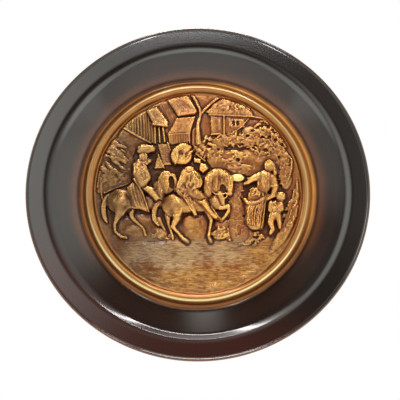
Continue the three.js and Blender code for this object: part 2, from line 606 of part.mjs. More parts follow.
// The rolled lip's section, from the flange's front round to its back
function lipSection(depth) {
  const section = [];
  const [from, to] = [0.75 * Math.PI, -0.75 * Math.PI];
  for (let n = 0; n <= LIP_STEPS; n++) {
    const angle = from + (to - from) * n / LIP_STEPS;
    section.push([LIP_CENTRE + LIP_RADIUS * Math.cos(angle), depth + LIP_RADIUS * Math.sin(angle)]);
  }
  return section;
}

function plaque() {
  const heights = drawPicture();
  const front = divideDisc(heights, FRONT_TOLERANCE);
  const back = divideDisc(hollowBack(heights), BACK_TOLERANCE);
  const flangeTop = SHEET + SLOPE_RISE + STEP_RISE + FLANGE_RISE;
  const outward = rimFront();
  const inward = setBack(outward).reverse();
  const section = [...outward, ...lipSection(flangeTop - LIP_DROP), ...inward];

  const points = [];
  const faces = [];
  const place = (x, z, depth) => points.push(x, -depth, z - HANGING_RADIUS) / 3 - 1;
  // Adds one disc and gives its rim, as [angle, vertex] in order round the plate
  const disc = ({ spots, triangles }, facing) => {
    const seen = new Map();
    const rim = [];
    const vertex = (spot) => {
      if (!seen.has(spot)) {
        const [x, z, depth] = spots[spot];
        seen.set(spot, place(x, z, depth));
        if (Math.hypot(x, z) > PICTURE_RADIUS - 1e-6) rim.push([Math.atan2(z, x), seen.get(spot)]);
      }
      return seen.get(spot);
    };
    for (const [a, b, c] of triangles) {
      const corners = [a, b, c].map(vertex);
      const [[x0, z0], [x1, z1], [x2, z2]] = [a, b, c].map((spot) => spots[spot]);
      const turn = (x1 - x0) * (z2 - z0) - (x2 - x0) * (z1 - z0);
      faces.push(...(turn * facing > 0 ? corners : corners.reverse()));
    }
    return rim.sort((p, q) => p[0] - q[0]);
  };
  // Fills the strip between two rings, whichever of them has the next point taking the next step
  const strip = (inside, outside) => {
    const angle = (ring, n) => ring[n % ring.length][0] + 2 * Math.PI * Math.floor(n / ring.length);
    const index = (ring, n) => ring[n % ring.length][1];
    let [i, j] = [0, 0];
    while (i < inside.length || j < outside.length) {
      const stepInside = j >= outside.length
        || (i < inside.length && angle(inside, i + 1) < angle(outside, j + 1) - 1e-9);
      const third = stepInside ? index(inside, i + 1) : index(outside, j + 1);
      faces.push(index(inside, i), index(outside, j), third);
      if (stepInside) i++;
      else j++;
    }
  };
  const rings = [disc(front, 1)];
  for (const [radius, depth] of section.slice(1, -1)) {
    const ring = [];
    for (let n = 0; n < SEGMENTS; n++) {
      const angle = -Math.PI + 2 * Math.PI * n / SEGMENTS;
      ring.push([angle, place(radius * Math.cos(angle), radius * Math.sin(angle), depth)]);
    }
    rings.push(ring);
  }
  rings.push(disc(back, -1));
  for (let n = 1; n < rings.length; n++) strip(rings[n - 1], rings[n]);
  const geometry = new THREE.BufferGeometry();
  geometry.setAttribute('position', new THREE.Float32BufferAttribute(points, 3));
  geometry.setIndex(faces);
  geometry.computeVertexNormals();
  const mesh = new THREE.Mesh(geometry, copper);
  mesh.name = 'plaque';
  return mesh;
}

// A flat tab against the wall, soldered along its curved inner end to the back of the slope
function hangingTab() {
  const slope = Math.atan2(SLOPE_RISE, SLOPE_WIDTH);
  const inset = (SHEET + SOLDER_GAP + (TAB_SHEET - SHEET) * Math.cos(slope)) / Math.sin(slope);
  const footRadius = SEAT_OUTER + inset;
  const half = TAB_WIDTH / 2;
  const spread = Math.asin(half / footRadius);
  const outline = new THREE.Shape();
  outline.absarc(0, -HANGING_RADIUS, footRadius, Math.PI / 2 + spread, Math.PI / 2 - spread, true);
  outline.absarc(0, 0, half, 0, Math.PI, false);
  outline.closePath();
  const hole = new THREE.Path();
  hole.absarc(0, 0, TAB_HOLE_RADIUS, 0, 2 * Math.PI, true);
  outline.holes.push(hole);
  const cut = { depth: TAB_SHEET, bevelEnabled: false, curveSegments: TAB_STEPS };
  const geometry = new THREE.ExtrudeGeometry(outline, cut);
  geometry.rotateX(Math.PI / 2);
  const mesh = new THREE.Mesh(geometry, plainCopper);
  mesh.name = 'hanging_tab';
  return mesh;
}

const group = new THREE.Group();
group.add(plaque(), hangingTab());

export default group;
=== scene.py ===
# A round wall plate pressed from copper: a village scene in high relief inside a raised bead,
# a broad dark rim that steps up to a rolled edge, and a hanging tab behind.
#
# The metal is modelled in millimetres on the frame of the solids: +X right, +Z up, the wall at
# y = 0, the front towards -Y, and the origin at the centre of the tab's hole.

import math

import bmesh
import bpy
import numpy as np
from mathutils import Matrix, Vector


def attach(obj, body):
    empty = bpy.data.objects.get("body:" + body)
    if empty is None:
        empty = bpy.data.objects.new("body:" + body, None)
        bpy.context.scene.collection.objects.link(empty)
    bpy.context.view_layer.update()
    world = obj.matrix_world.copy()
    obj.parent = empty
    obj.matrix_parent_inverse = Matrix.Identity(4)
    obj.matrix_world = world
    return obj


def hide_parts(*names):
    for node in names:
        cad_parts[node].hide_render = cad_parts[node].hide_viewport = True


MM = 0.001

# The rings of the plate, from the middle outwards
SHEET = 1.0
PICTURE_RADIUS = 88.5
BEAD_WIDTH = 9.0
BEAD_RISE = 4.8
SEAT_WIDTH = 3.5
SLOPE_WIDTH = 18.5
SLOPE_RISE = 9.6
STEP_WIDTH = 6.5
STEP_RISE = 3.6
FLANGE_WIDTH = 17.8
FLANGE_RISE = 0.8
LIP_RADIUS = 1.2
LIP_DROP = 0.8
SEAT_BEND = 1.4                  # how far the section is eased on each side of a bend
STEP_BEND = 5.4
LIP_BEND = 0.3
SEAT_INNER = PICTURE_RADIUS + BEAD_WIDTH
SEAT_OUTER = SEAT_INNER + SEAT_WIDTH
SLOPE_OUTER = SEAT_OUTER + SLOPE_WIDTH
STEP_OUTER = SLOPE_OUTER + STEP_WIDTH
LIP_CENTRE = STEP_OUTER + FLANGE_WIDTH

# Heights of the picture in front of the wall
PICTURE_EDGE = 2.5
GROUND = 3.2
RELIEF_RISE = 0.95
BACK_SMOOTHING = 3.5
WALL_GAP = 0.3

# The hanging tab and its solder
TAB_SHEET = 1.2
TAB_WIDTH = 16.0
TAB_HOLE_RADIUS = 3.5
TAB_BEVEL = 0.25
HANGING_RADIUS = 113.0
SOLDER_GAP = 0.3
SOLDER_RADIUS = 0.75
SOLDER_SPREAD = 0.92             # of the tab's width
SOLDER_OVERLAP = 0.1             # how far the solder's middle lies inside the tab's foot
SOLDER_POINTS = 60
SOLDER_SIDES = 16
SOLDER_WANDER = 0.45
SOLDER_SEED = 7
FOOT_STEPS = 12
END_STEPS = 40
HOLE_STEPS = 64

# How finely the metal is divided
SAMPLES = 850                    # of the drawing's heights, each way
GRID = 512                       # cells along each side of the square that becomes the picture
RIM_SEGMENTS = 256
BEAD_STEPS = 20
BEND_STEPS = 10
LIP_STEPS = 14
FRONT_TOLERANCE = 0.16
BACK_TOLERANCE = 0.45

# The picture is drawn in hundredths of its radius, with heights in millimetres
UNIT = PICTURE_RADIUS / 100
DRAWN_HALF = 104.0               # the drawing reaches this far each way
GROOVE_DEPTH = 0.42              # of the grooves round the forms, beside the depths given with them
GROOVE_REACH = 0.5               # and of their widths
AT_OUTLINE = 0.45                # what is left of a form's mask at its outline once it is softened
FOLD_RISE = 1.35                 # of the drawn lines, beside the rises given with them
LINE_REACH = 2.4                 # how many of its widths a drawn line is felt over
LEAF_OVERLAP = 0.25              # how much lower than what is there a leaf may lie and still cover it
LEAST = 0.05                     # the least height of a form anywhere inside its outline
FAR = 1e9
TRAY_PLACE = (38.1, 12.5)
TRAY_SIZE = (7.2, 4.0)


def smooth_step(x):
    x = np.clip(x, 0.0, 1.0)
    return x * x * (3 - 2 * x)


def turned(x, y, degrees):
    """Places seen from axes that are turned by that many degrees."""
    c, s = math.cos(math.radians(degrees)), math.sin(math.radians(degrees))
    return x * c + y * s, y * c - x * s


def mixed(field, i, j, s, t):
    """The field between four of its samples, s of the way along and t of the way up."""
    return ((field[j, i] * (1 - s) + field[j, i + 1] * s) * (1 - t)
            + (field[j + 1, i] * (1 - s) + field[j + 1, i + 1] * s) * t)


def soften(field, reach):
    """Three passes of a running mean each way, over about that many samples."""
    k = max(1, int(round(reach)))
    out = field
    for axis in (0, 1):
        for _ in range(3):
            pad = [(0, 0), (0, 0)]
            pad[axis] = (k + 1, k)
            sums = np.cumsum(np.pad(out, pad, mode="edge"), axis=axis)
            count = out.shape[axis]
            high = np.take(sums, range(2 * k + 1, 2 * k + 1 + count), axis=axis)
            low = np.take(sums, range(0, count), axis=axis)
            out = (high - low) / (2 * k + 1)
    return out


def between(a, b, c, d, t):
    """The point at t between b and c on a smooth line that comes from a and goes on to d."""
    return tuple(0.5 * (2 * q + (r - p) * t + (2 * p - 5 * q + 4 * r - s) * t * t
                        + (3 * q - p - 3 * r + s) * t ** 3) for p, q, r, s in zip(a, b, c, d))


def curve(points, steps=8):
    """A smooth line through a few points."""
    ends = [points[0]] + list(points) + [points[-1]]
    line = []
    for a, b, c, d in zip(ends, ends[1:], ends[2:], ends[3:]):
        line += [between(a, b, c, d, i / steps) for i in range(steps)]
    return line + [tuple(points[-1])]


class Form:
    """The figure or building being drawn, as heights above its own footing. Forms are stood on
    the picture one after another, from the back to the front."""

    def __init__(self, picture):
        self.picture = picture
        self.begin()

    def begin(self, soft=0.3):
        """Starts a form whose parts melt into each other over that much height."""
        self.soft = soft
        self.z = np.zeros_like(self.picture.h)

    def stand(self, level, moat=0.9, reach=1.5):
        """Sets the form on the picture at that level, with a groove round its outline, and starts
        the next one."""
        picture = self.picture
        mask = (self.z > 0).astype(float)
        around = np.clip(soften(mask, GROOVE_REACH * reach / picture.step) / AT_OUTLINE, 0, 1)
        picture.h = np.where(mask > 0, level + self.z, picture.h - GROOVE_DEPTH * moat * around)
        self.begin()

    def window(self, places, margin):
        """The samples round those places."""
        cells = self.picture
        spans = []
        for values in ([place[1] for place in places], [place[0] for place in places]):
            low = int(np.floor((min(values) - margin + cells.half) / cells.step))
            high = int(np.ceil((max(values) + margin + cells.half) / cells.step)) + 1
            low = min(max(low, 0), cells.samples - 1)
            spans.append(slice(low, max(low + 1, min(high, cells.samples))))
        return tuple(spans)

    def near(self, window, start, end):
        """How far along a straight stroke each sample lies, and its distance from it squared."""
        x, y = self.picture.u[window] - start[0], self.picture.v[window] - start[1]
        du, dv = end[0] - start[0], end[1] - start[1]
        t = np.clip((x * du + y * dv) / max(du * du + dv * dv, 1e-9), 0, 1)
        return t, (x - t * du) ** 2 + (y - t * dv) ** 2

    def join(self, window, new):
        """Adds heights where they stand above the form's own, melting the two where they meet."""
        old = self.z[window]
        melt = np.clip(1 - np.abs(old - new) / self.soft, 0, 1) ** 2 * self.soft / 4
        top = np.maximum(old, new)
        self.z[window] = np.where((old > 0) & (new > 0), top + melt, top)

    def ball(self, at, size, rise, turn=0, power=0.5, foot=0.0):
        """A domed oval."""
        window = self.window([at], max(size))
        x, y = turned(self.picture.u[window] - at[0], self.picture.v[window] - at[1], turn)
        d = (x / size[0]) ** 2 + (y / size[1]) ** 2
        self.join(window, np.where(d < 1, foot + rise * np.clip(1 - d, 0, 1) ** power, 0))

    def limb(self, joints, flat=0.8, foot=0.0):
        """A half-round limb through joints of (u, v, radius)."""
        for a, b in zip(joints, joints[1:]):
            window = self.window([a, b], max(a[2], b[2]))
            t, away = self.near(window, a, b)
            left = (a[2] + (b[2] - a[2]) * t) ** 2 - away
            self.join(window, np.where(left > 0, foot + flat * UNIT * np.sqrt(np.clip(left, 0, None)), 0))

    def slab(self, corners, rise, bevel=1.0, lean=(0.0, 0.0), foot=0.2):
        """A flat shape with a bevelled edge, which may lean."""
        window = self.window(corners, 0)
        x, y = self.picture.u[window], self.picture.v[window]
        inside = np.zeros(x.shape, bool)
        nearest = np.full(x.shape, FAR)
        for a, b in zip(corners, corners[1:] + corners[:1]):
            nearest = np.minimum(nearest, self.near(window, a, b)[1])
            rise_v = b[1] - a[1] or 1e-9
            inside ^= ((a[1] > y) != (b[1] > y)) & (x < a[0] + (y - a[1]) * (b[0] - a[0]) / rise_v)
        middle = [sum(corner[k] for corner in corners) / len(corners) for k in (0, 1)]
        top = rise + lean[0] * (x - middle[0]) + lean[1] * (y - middle[1])
        edge = foot + (1 - foot) * smooth_step(np.sqrt(nearest) / bevel)
        self.join(window, np.where(inside, np.maximum(top * edge, LEAST), 0))

    def blob(self, corners, rise, bevel=3.0):
        """A flat shape whose outline is the smooth line round its corners."""
        ring = corners[-1:] + corners + corners[:2]
        outline = []
        for a, b, c, d in zip(ring, ring[1:], ring[2:], ring[3:]):
            outline += [between(a, b, c, d, i / 3) for i in range(3)]
        self.slab(outline, rise, bevel)

    def lines(self, paths, width, rise):
        """Ridges along paths on what is there, or grooves where rise is negative."""
        drawn = np.zeros_like(self.z)
        for path in paths:
            for a, b in zip(path, path[1:]):
                window = self.window([a, b], LINE_REACH * width)
                new = FOLD_RISE * rise * np.exp(-self.near(window, a, b)[1] / width ** 2)
                drawn[window] = np.where(np.abs(new) > np.abs(drawn[window]), new, drawn[window])
        self.z = np.where(self.z > 0, np.maximum(self.z + drawn, LEAST), 0)

    def strands(self, left, right, count, width, rise, wave=0.0, seed=1):
        """Lines spread evenly from the left guide to the right one: hair, straw, folds, boards."""
        chance = np.random.RandomState(seed)
        paths = []
        for k in range(count):
            t = (k + 0.5 + 0.3 * chance.uniform(-1, 1)) / count
            paths.append([tuple(p + (q - p) * t + wave * chance.uniform(-1, 1) for p, q in zip(a, b))
                          for a, b in zip(curve(left), curve(right))])
        self.lines(paths, width, rise)

    def leaves(self, at, size, count, length, width, direction, spread, rise, foot=0.6, seed=1,
               turn=0, dome=0.8):
        """Leaves strewn over an oval, each laid over those before it."""
        chance = np.random.RandomState(seed)
        for _ in range(count):
            angle, out = chance.uniform(0, 2 * math.pi), math.sqrt(chance.uniform(0, 1))
            x, y = turned(size[0] * out * math.cos(angle), size[1] * out * math.sin(angle), -turn)
            u, v = at[0] + x, at[1] + y
            way = direction + spread * chance.uniform(-1, 1)
            k = 0.7 + 0.6 * chance.uniform()
            base = foot + dome * (1 - out * out) + 0.35 * chance.uniform()
            window = self.window([(u, v)], length * k)
            along, across = turned(self.picture.u[window] - u, self.picture.v[window] - v, way)
            along, across = along / (length * k), across / (width * k)
            d = along ** 2 + across ** 2 / np.clip(1 - 0.6 * along ** 2, 0.05, 1)
            leaf = np.where(d < 1, base + rise * np.clip(1 - d, 0, 1) ** 0.6, 0)
            old = self.z[window]
            self.z[window] = np.where((leaf > 0) & (leaf > old - LEAF_OVERLAP), leaf, old)


class Picture:
    """The relief's heights above its ground."""

    def __init__(self):
        self.samples = SAMPLES
        self.half = DRAWN_HALF
        self.step = 2 * self.half / (SAMPLES - 1)
        line = np.linspace(-self.half, self.half, SAMPLES)
        self.u, self.v = np.meshgrid(line, line)
        self.h = 0.25 * self.noise(22, 1) + 0.12 * self.noise(9, 2)

    def noise(self, grain, seed, stretch=1.0, turn=0.0):
        """Even chance bumps of about that size, between -1 and 1."""
        chance = np.random.RandomState(seed)
        cells = int(math.ceil(3 * self.half / grain)) + 2
        knots = chance.uniform(-1, 1, (cells, cells))
        x, y = turned(self.u, self.v, turn)
        x, y = (x / stretch + 1.5 * self.half) / grain, (y + 1.5 * self.half) / grain
        i, j = x.astype(int), y.astype(int)
        return mixed(knots, i, j, smooth_step(x - i), smooth_step(y - j))

    def read(self, field, u, v):
        """The field's value at each place, from the four samples round it."""
        x = np.clip((u + self.half) / self.step, 0, self.samples - 1.001)
        y = np.clip((v + self.half) / self.step, 0, self.samples - 1.001)
        i, j = x.astype(int), y.astype(int)
        return mixed(field, i, j, x - i, y - j)


def hill_left(form):
    form.blob([(-97.6, 33.4), (-90.4, 46.6), (-81.1, 53.2), (-75.4, 52.4), (-68.9, 45.8), (-63.2, 36.3),
        (-61.4, 27.6), (-63.2, 10), (-70.3, 6.4), (-91.1, -2.4), (-100.5, 4.2)], 1.0, bevel=4.5)
    form.stand(0.5)
    form.blob([(-96.2, 14.4), (-91.1, 15.9), (-67.5, 17.3), (-64.6, 7.8), (-70.3, 5.9), (-91.1, -2.4),
        (-97.6, -0.2)], 0.7, bevel=4)
    form.leaves((-82.1, 32.7), (12.3, 17.7), 55, 4.9, 1.7, -28, 16, 1.2, foot=0.4, seed=5, dome=1.1)
    form.leaves((-82.5, 12.9), (10.1, 5.8), 26, 3.5, 1.9, -10, 80, 0.8, seed=6, dome=0.5)
    form.stand(0.9, moat=0.6)
    form.limb([(-93.6, 12.9, 1), (-93, -1.7, 1), (-91.1, -11.2, 0.9)], 1.2)
    form.limb([(-95, 18.8, 1), (-97.3, 4.2, 0.9)], 1.2)
    form.limb([(-90.4, -2.4, 0.9), (-78.9, 2.7, 0.9), (-67.5, 6.8, 0.7)], 0.9)
    form.stand(1.2, moat=0.5, reach=1.0)


def house_left(form):
    # the wall below the eave beam
    form.slab([(-75.4, 63.8), (-71.8, 62.7), (-46, 48.8), (-44.5, 46.6), (-56, 46.6), (-60.3, 39.3),
        (-63.2, 35.6), (-69.6, 46.6), (-78.9, 54.6)], 0.6, bevel=1.5)
    form.stand(0.5, moat=0.5)
    # plank walls
    form.slab([(-72.4, 67), (-63.2, 77), (-51, 82.4), (-43.1, 65.6), (-41.4, 46.3), (-48.1, 48.8),
        (-71.8, 62.4)], 1.2, bevel=1.5)
    form.strands([(-68.6, 68.8), (-68.6, 62.4)], [(-46, 80.2), (-43.8, 46.9)], 9, 0.45, -0.8, wave=0.25,
        seed=2)
    form.strands([(-69.2, 68.8), (-69.2, 62.4)], [(-45.4, 80.2), (-43.1, 46.9)], 16, 0.3, 0.25, wave=0.3,
        seed=12)
    form.stand(1.2, moat=0.6)
    form.limb([(-73.8, 63.8, 0.9), (-63.2, 57.5, 1.2), (-46.2, 47.7, 1)], 1.4)
    form.strands([(-73.8, 64.4), (-46.2, 48.3)], [(-73.8, 63), (-46.2, 46.9)], 3, 0.3, -0.35, seed=3)
    form.stand(1.9, reach=1.4)
    # gable of the second house, its two thatched roofs
    form.slab([(-38.8, 90.4), (-31.6, 93.4), (-19.4, 75.8), (-21.6, 73.6), (-30.2, 56.8), (-38.8, 67),
        (-51, 81.4), (-49.5, 83.9)], 0.7, bevel=1.2)
    form.strands([(-37.4, 87.5), (-28.7, 67)], [(-25.9, 87.5), (-20.1, 74.4)], 5, 0.5, -0.5, wave=0.3,
        seed=4)
    form.stand(0.9, moat=0.6)
    form.slab([(-32, 93.7), (-20.1, 99.2), (-10.4, 98), (0.2, 80.2), (-2.6, 77), (-19.6, 74.7)], 1.6,
        bevel=1.4, lean=(0.02, -0.03))
    form.strands([(-31.6, 93.4), (-19.3, 74.9)], [(-10.4, 98), (-0.1, 79)], 15, 0.5, 0.45, wave=0.35,
        seed=5)
    form.strands([(-17.3, 91.9), (-13, 89), (-2.9, 80.9)], [(-11.5, 97), (-7.2, 93.4), (-0.3, 82.4)], 5,
        0.7, 0.7, wave=0.6, seed=6)
    form.stand(1.6, moat=1.3, reach=1.8)
    form.slab([(-21.6, 73.6), (-2.4, 75.5), (-7.2, 58.6), (-30.2, 56.8)], 1.1, bevel=1.2, lean=(0.0, -0.03))
    form.strands([(-21.3, 72.9), (-25.9, 65.6), (-29.5, 57.4)], [(-2.9, 74.9), (-5.1, 67), (-7.5, 59.2)],
        13, 0.4, 0.22, wave=0.3, seed=7)
    form.lines([[(-21.6, 73.6), (-2.4, 75.5)], [(-2.4, 75.5), (-7.2, 58.6)]], 0.7, 0.7)
    form.stand(1.4, moat=1.2, reach=1.8)
    # balcony
    form.slab([(-30.2, 57.1), (-7.2, 58.6), (-6.7, 49.2), (-26.5, 45.8)], 0.7, bevel=0.8)
    for k in range(9):
        form.limb([(-28 + 2.44 * k, 56.1, 0.65), (-27.6 + 2.44 * k, 47.7, 0.65)], 1.3, foot=0.5)
    form.lines([[(-29.9, 56.8), (-7.2, 58)]], 0.7, 0.9)
    form.stand(1.0, moat=0.8)
    form.slab([(-5.8, 61.9), (0.7, 67), (3.5, 56.8), (3.1, 45.1), (-5.8, 45.7)], 0.8)
    form.strands([(-4.9, 60.5), (-5.2, 46.6)], [(1.1, 64.1), (2.5, 46.6)], 4, 0.45, -0.6, wave=0.2, seed=8)
    form.stand(1.0)
    # porch: posts, dark door, bright roof
    form.limb([(-42.1, 65.6, 1.2), (-41.4, 47.7, 1.2)], 1.3)
    form.limb([(-34.5, 65.9, 1.3), (-32.3, 49.5, 1.3)], 1.3)
    form.limb([(-38.1, 64.1, 1), (-37.1, 48.8, 1)], 1.0)
    form.stand(1.6, moat=1.6, reach=2.2)
    form.slab([(-51.3, 81.4), (-39.9, 85.6), (-28, 68.2), (-30.2, 65), (-44, 66.5)], 1.7, bevel=1.2,
        lean=(0.0, -0.04))
    form.strands([(-50.8, 80.8), (-43.7, 66.8)], [(-39.9, 85.2), (-28.7, 68.2)], 10, 0.4, 0.35, wave=0.3,
        seed=9)
    form.limb([(-44.2, 66.5, 1), (-29.9, 64.9, 1.2)], 1.0, foot=1.3)
    form.stand(2.3, moat=1.5, reach=2.4)
    # far roofs at the picture's edge
    form.slab([(-49.5, 83.9), (-38.8, 90.4), (-34.5, 94.8), (-31.6, 93.4), (-38.8, 86.1), (-39.9, 85.6),
        (-51, 81.4)], 0.8)
    form.strands([(-48.8, 83.9), (-49.5, 81.7)], [(-34.5, 93.4), (-37.4, 86.8)], 7, 0.5, 0.4, wave=0.5,
        seed=10)
    form.stand(1.2, moat=0.7)


def stairs(form):
    form.slab([(-39.1, 46.6), (-28, 48.3), (-25.6, 25.5), (-33.6, 24.9)], 0.6, bevel=0.8)
    top, foot = [(-38.8, 46.3), (-28, 47.7)], [(-33.5, 25.5), (-25.9, 25.8)]
    for k in range(12):
        t = (k + 0.5) / 12
        a = tuple(top[0][i] + (foot[0][i] - top[0][i]) * t for i in (0, 1))
        b = tuple(top[1][i] + (foot[1][i] - top[1][i]) * t for i in (0, 1))
        form.limb([(*a, 0.75), (*b, 0.75)], 1.2, foot=0.5)
    form.stand(1.0)
    form.slab([(-39.1, 36.3), (-37.6, 37.1), (-32.2, 22.3), (-43.1, 21.7), (-41.7, 27.6)], 0.9)
    form.limb([(-38.8, 36.3, 0.7), (-32.5, 22.3, 0.9)], 1.3, foot=0.6)
    form.stand(1.4)
    form.limb([(-29.5, 48.6, 0.9), (-26.5, 40.1, 0.7)], 1.4)
    form.stand(1.8, moat=0.7)


def house_right(form):
    form.slab([(11.7, 77), (50.1, 74.9), (37.2, 59.7), (27.2, 53.2), (12.8, 56.8)], 0.6)
    form.slab([(29.3, 72.9), (46.1, 73.2), (46.1, 63.8), (29.3, 63.8)], 1.4, bevel=1.2)
    form.ball((34.1, 68.8), (1.6, 2.5), -1.3)
    form.stand(0.8, moat=0.7)
    form.slab([(18, 73.6), (23.6, 73.2), (23.6, 61.5), (18.9, 59.4)], 1.1, bevel=2.5)
    form.stand(0.9, moat=0.8)
    form.slab([(6.8, 79.9), (20, 91.9), (30.1, 96.6), (45.8, 86.1), (53.3, 81.4), (54.7, 75.5), (11.7, 77)],
        1.2, bevel=1.4, lean=(0.0, -0.02))
    form.strands([(20, 91.2), (8.5, 78.7)], [(43, 87.5), (54.2, 76.1)], 18, 0.5, 0.5, wave=0.6, seed=21)
    form.leaves((38.7, 85.3), (13.8, 7.2), 50, 2.3, 0.9, 70, 40, 0.9, foot=1.2, seed=22, dome=0.5)
    form.leaves((23.6, 87.5), (8.7, 5.8), 24, 2.6, 0.9, 40, 30, 0.7, foot=1.1, seed=23, dome=0.5)
    form.stand(1.5, moat=1.3, reach=1.8)
    form.limb([(10.7, 77, 0.7), (31.5, 76.1, 0.9), (52.3, 75.1, 0.9), (68.8, 72.6, 0.6)], 1.4)
    form.limb([(25.5, 75.5, 1), (25.8, 56.1, 0.9)], 1.3)
    form.limb([(49.4, 72.9, 0.7), (43, 64.9, 0.7), (35.1, 59, 0.7), (27.2, 53.2, 0.7)], 1.3)
    form.limb([(12.8, 56.8, 0.7), (22.2, 57.4, 0.7)], 1.3)
    form.limb([(33.6, 72.6, 0.9), (33.2, 63.8, 0.9)], 1.0)
    form.stand(1.7, moat=1.3, reach=1.6)
    for window in ((34.8, 68.5), (39.0, 68.2)):
        form.ball(window, (1.3, 2.5), 0.2)
        form.stand(-0.3, moat=0.0)


def foliage(form):
    # the broad bush in the middle and right, in lumps
    form.begin(1.0)
    lumps = ((22.9, 48.8, 10.1, 5.8), (35.1, 51, 10.9, 5.8), (49.4, 51, 11.6, 8), (64.5, 46.6, 11.6, 10.1),
        (76, 39.3, 10.1, 11.6), (18.6, 39.3, 8.7, 6.5), (31.5, 33.4, 13.8, 8.7), (48.7, 33.4, 13, 8.7),
        (61.6, 29, 11.6, 8.7), (22.9, 26.1, 11.6, 6.5), (37.2, 21.7, 13.8, 6.5), (53, 19.5, 11.6, 5.8),
        (81.7, 27.6, 8.7, 13), (84.6, 12.9, 6.5, 11.6), (63, 56.8, 11.6, 7.2), (74.5, 51, 10.1, 7.2),
        (31.5, 12.9, 8.7, 5.8), (15.7, 30.5, 7.2, 5.8), (51.6, 59.7, 8.7, 5.8))
    for u, v, wide, tall in lumps:
        form.ball((u, v), (wide, tall), 1.6, power=0.6, foot=0.25)
    lumpy = form.z + 0.25 * form.picture.noise(4.5, 71) + 0.15 * form.picture.noise(2.2, 72)
    form.z = np.where(form.z > 0, np.maximum(lumpy, LEAST), 0)
    form.stand(0.6, moat=0.8, reach=1.8)
    form.leaves((38.7, 51), (21.7, 7.2), 130, 2.2, 0.9, 20, 70, 0.9, seed=31, dome=0.6)
    form.leaves((65.9, 49.5), (21.7, 15.2), 230, 2.1, 0.9, -30, 70, 1.0, seed=32)
    form.leaves((80.3, 24.6), (9, 20.3), 130, 2, 0.9, 70, 60, 0.9, foot=0.5, seed=33, dome=0.6)
    form.leaves((71.7, 65.6), (15.9, 6.5), 50, 2.2, 1.2, -35, 60, 0.9, foot=0.4, seed=34, dome=0.5)
    form.leaves((8.5, 45.1), (11.6, 10.1), 40, 2.3, 1.3, 30, 70, 0.7, foot=0.3, seed=37, dome=0.6)
    form.stand(1.0, moat=0.5, reach=1.0)
    form.leaves((31.5, 33.4), (17.4, 7.2), 60, 2.6, 1.0, 10, 60, 0.5, foot=0.5, seed=35, dome=0.6)
    form.leaves((41.5, 21.7), (14.5, 5.2), 44, 2.6, 1.0, 10, 50, 0.5, foot=0.5, seed=36, dome=0.5)
    form.stand(1.6, moat=0.25, reach=1.2)
    holes = ((53, 60.5, 2.3, 1.7), (48.4, 55.2, 2.3, 1.4), (69.6, 53.7, 2, 2), (75.5, 50.7, 1.7, 2),
        (81.7, 46.3, 1.7, 2.3), (63, 53.9, 2, 1.4), (65.9, 40.7, 2.3, 1.7), (38.7, 30.9, 2.3, 2),
        (35.1, 42.2, 5.8, 1.3), (20, 41.5, 2, 1.2), (55.9, 45.1, 2, 1.3), (73.1, 61.2, 1.7, 1.7),
        (78.8, 33.4, 1.7, 1.7), (58.7, 64.1, 1.7, 1.4), (43, 46.6, 2, 1.2))
    for u, v, wide, tall in holes:
        form.ball((u, v), (0.8 * wide, 0.8 * tall), 0.3)
        form.stand(0.1, moat=0.3)
    # branch curve at the right edge
    form.limb([(86.7, 36.3, 1), (91, 31.2, 1.2), (90.6, 21.7, 1.2), (88.1, 12.9, 1), (85.3, 7.1, 0.7)], 1.2)
    form.stand(2.0, moat=1.3, reach=1.8)


def tree(form):
    form.limb([(1.7, 42.2, 3.4), (0.2, 53.9, 2.2), (-0.1, 67, 1.7), (2.4, 77, 1.6), (1.7, 83.1, 1.6),
        (-1.8, 91.2, 1.6), (-5.8, 98, 1.5)], 0.7, foot=0.2)
    form.limb([(3.1, 78.7, 1.4), (10, 86.1, 1.5), (17.1, 92.6, 1.4), (23.6, 97.5, 1.3)], 0.35, foot=0.1)
    form.strands([(-0.8, 43.7), (-1.8, 67), (0.7, 78.7), (-3.6, 91.2)], [(5, 43.7), (1.7, 67), (4, 78.7),
        (-0.3, 91.2)], 4, 0.5, -0.5, wave=0.3, seed=41)
    form.stand(1.6, moat=1.6, reach=2.6)


def clutter_mid(form):
    # the small shapes between the tree's foot and the second rider's hat
    form.slab([(-5.8, 45.4), (8.5, 46.6), (12.8, 42.2), (8.5, 33.4), (-2.9, 36.3)], 0.7, bevel=1.5)
    form.leaves((5, 39.3), (10.1, 6.5), 26, 2.9, 1.3, 20, 70, 0.7, seed=45)
    form.stand(0.8)
    form.slab([(-5.2, 33.4), (3.4, 31.7), (3.1, 27), (-4.1, 27.6)], 1.6, bevel=1.2)
    form.slab([(1.7, 27.9), (8.5, 26.7), (11.4, 21.7), (5, 16.2), (0.2, 20.3)], 2.2, bevel=1.6)
    form.limb([(-2.1, 37.1, 0.9), (6.8, 29.8, 0.9)], 1.2, foot=0.5)
    form.stand(1.6, moat=1.4, reach=2.0)


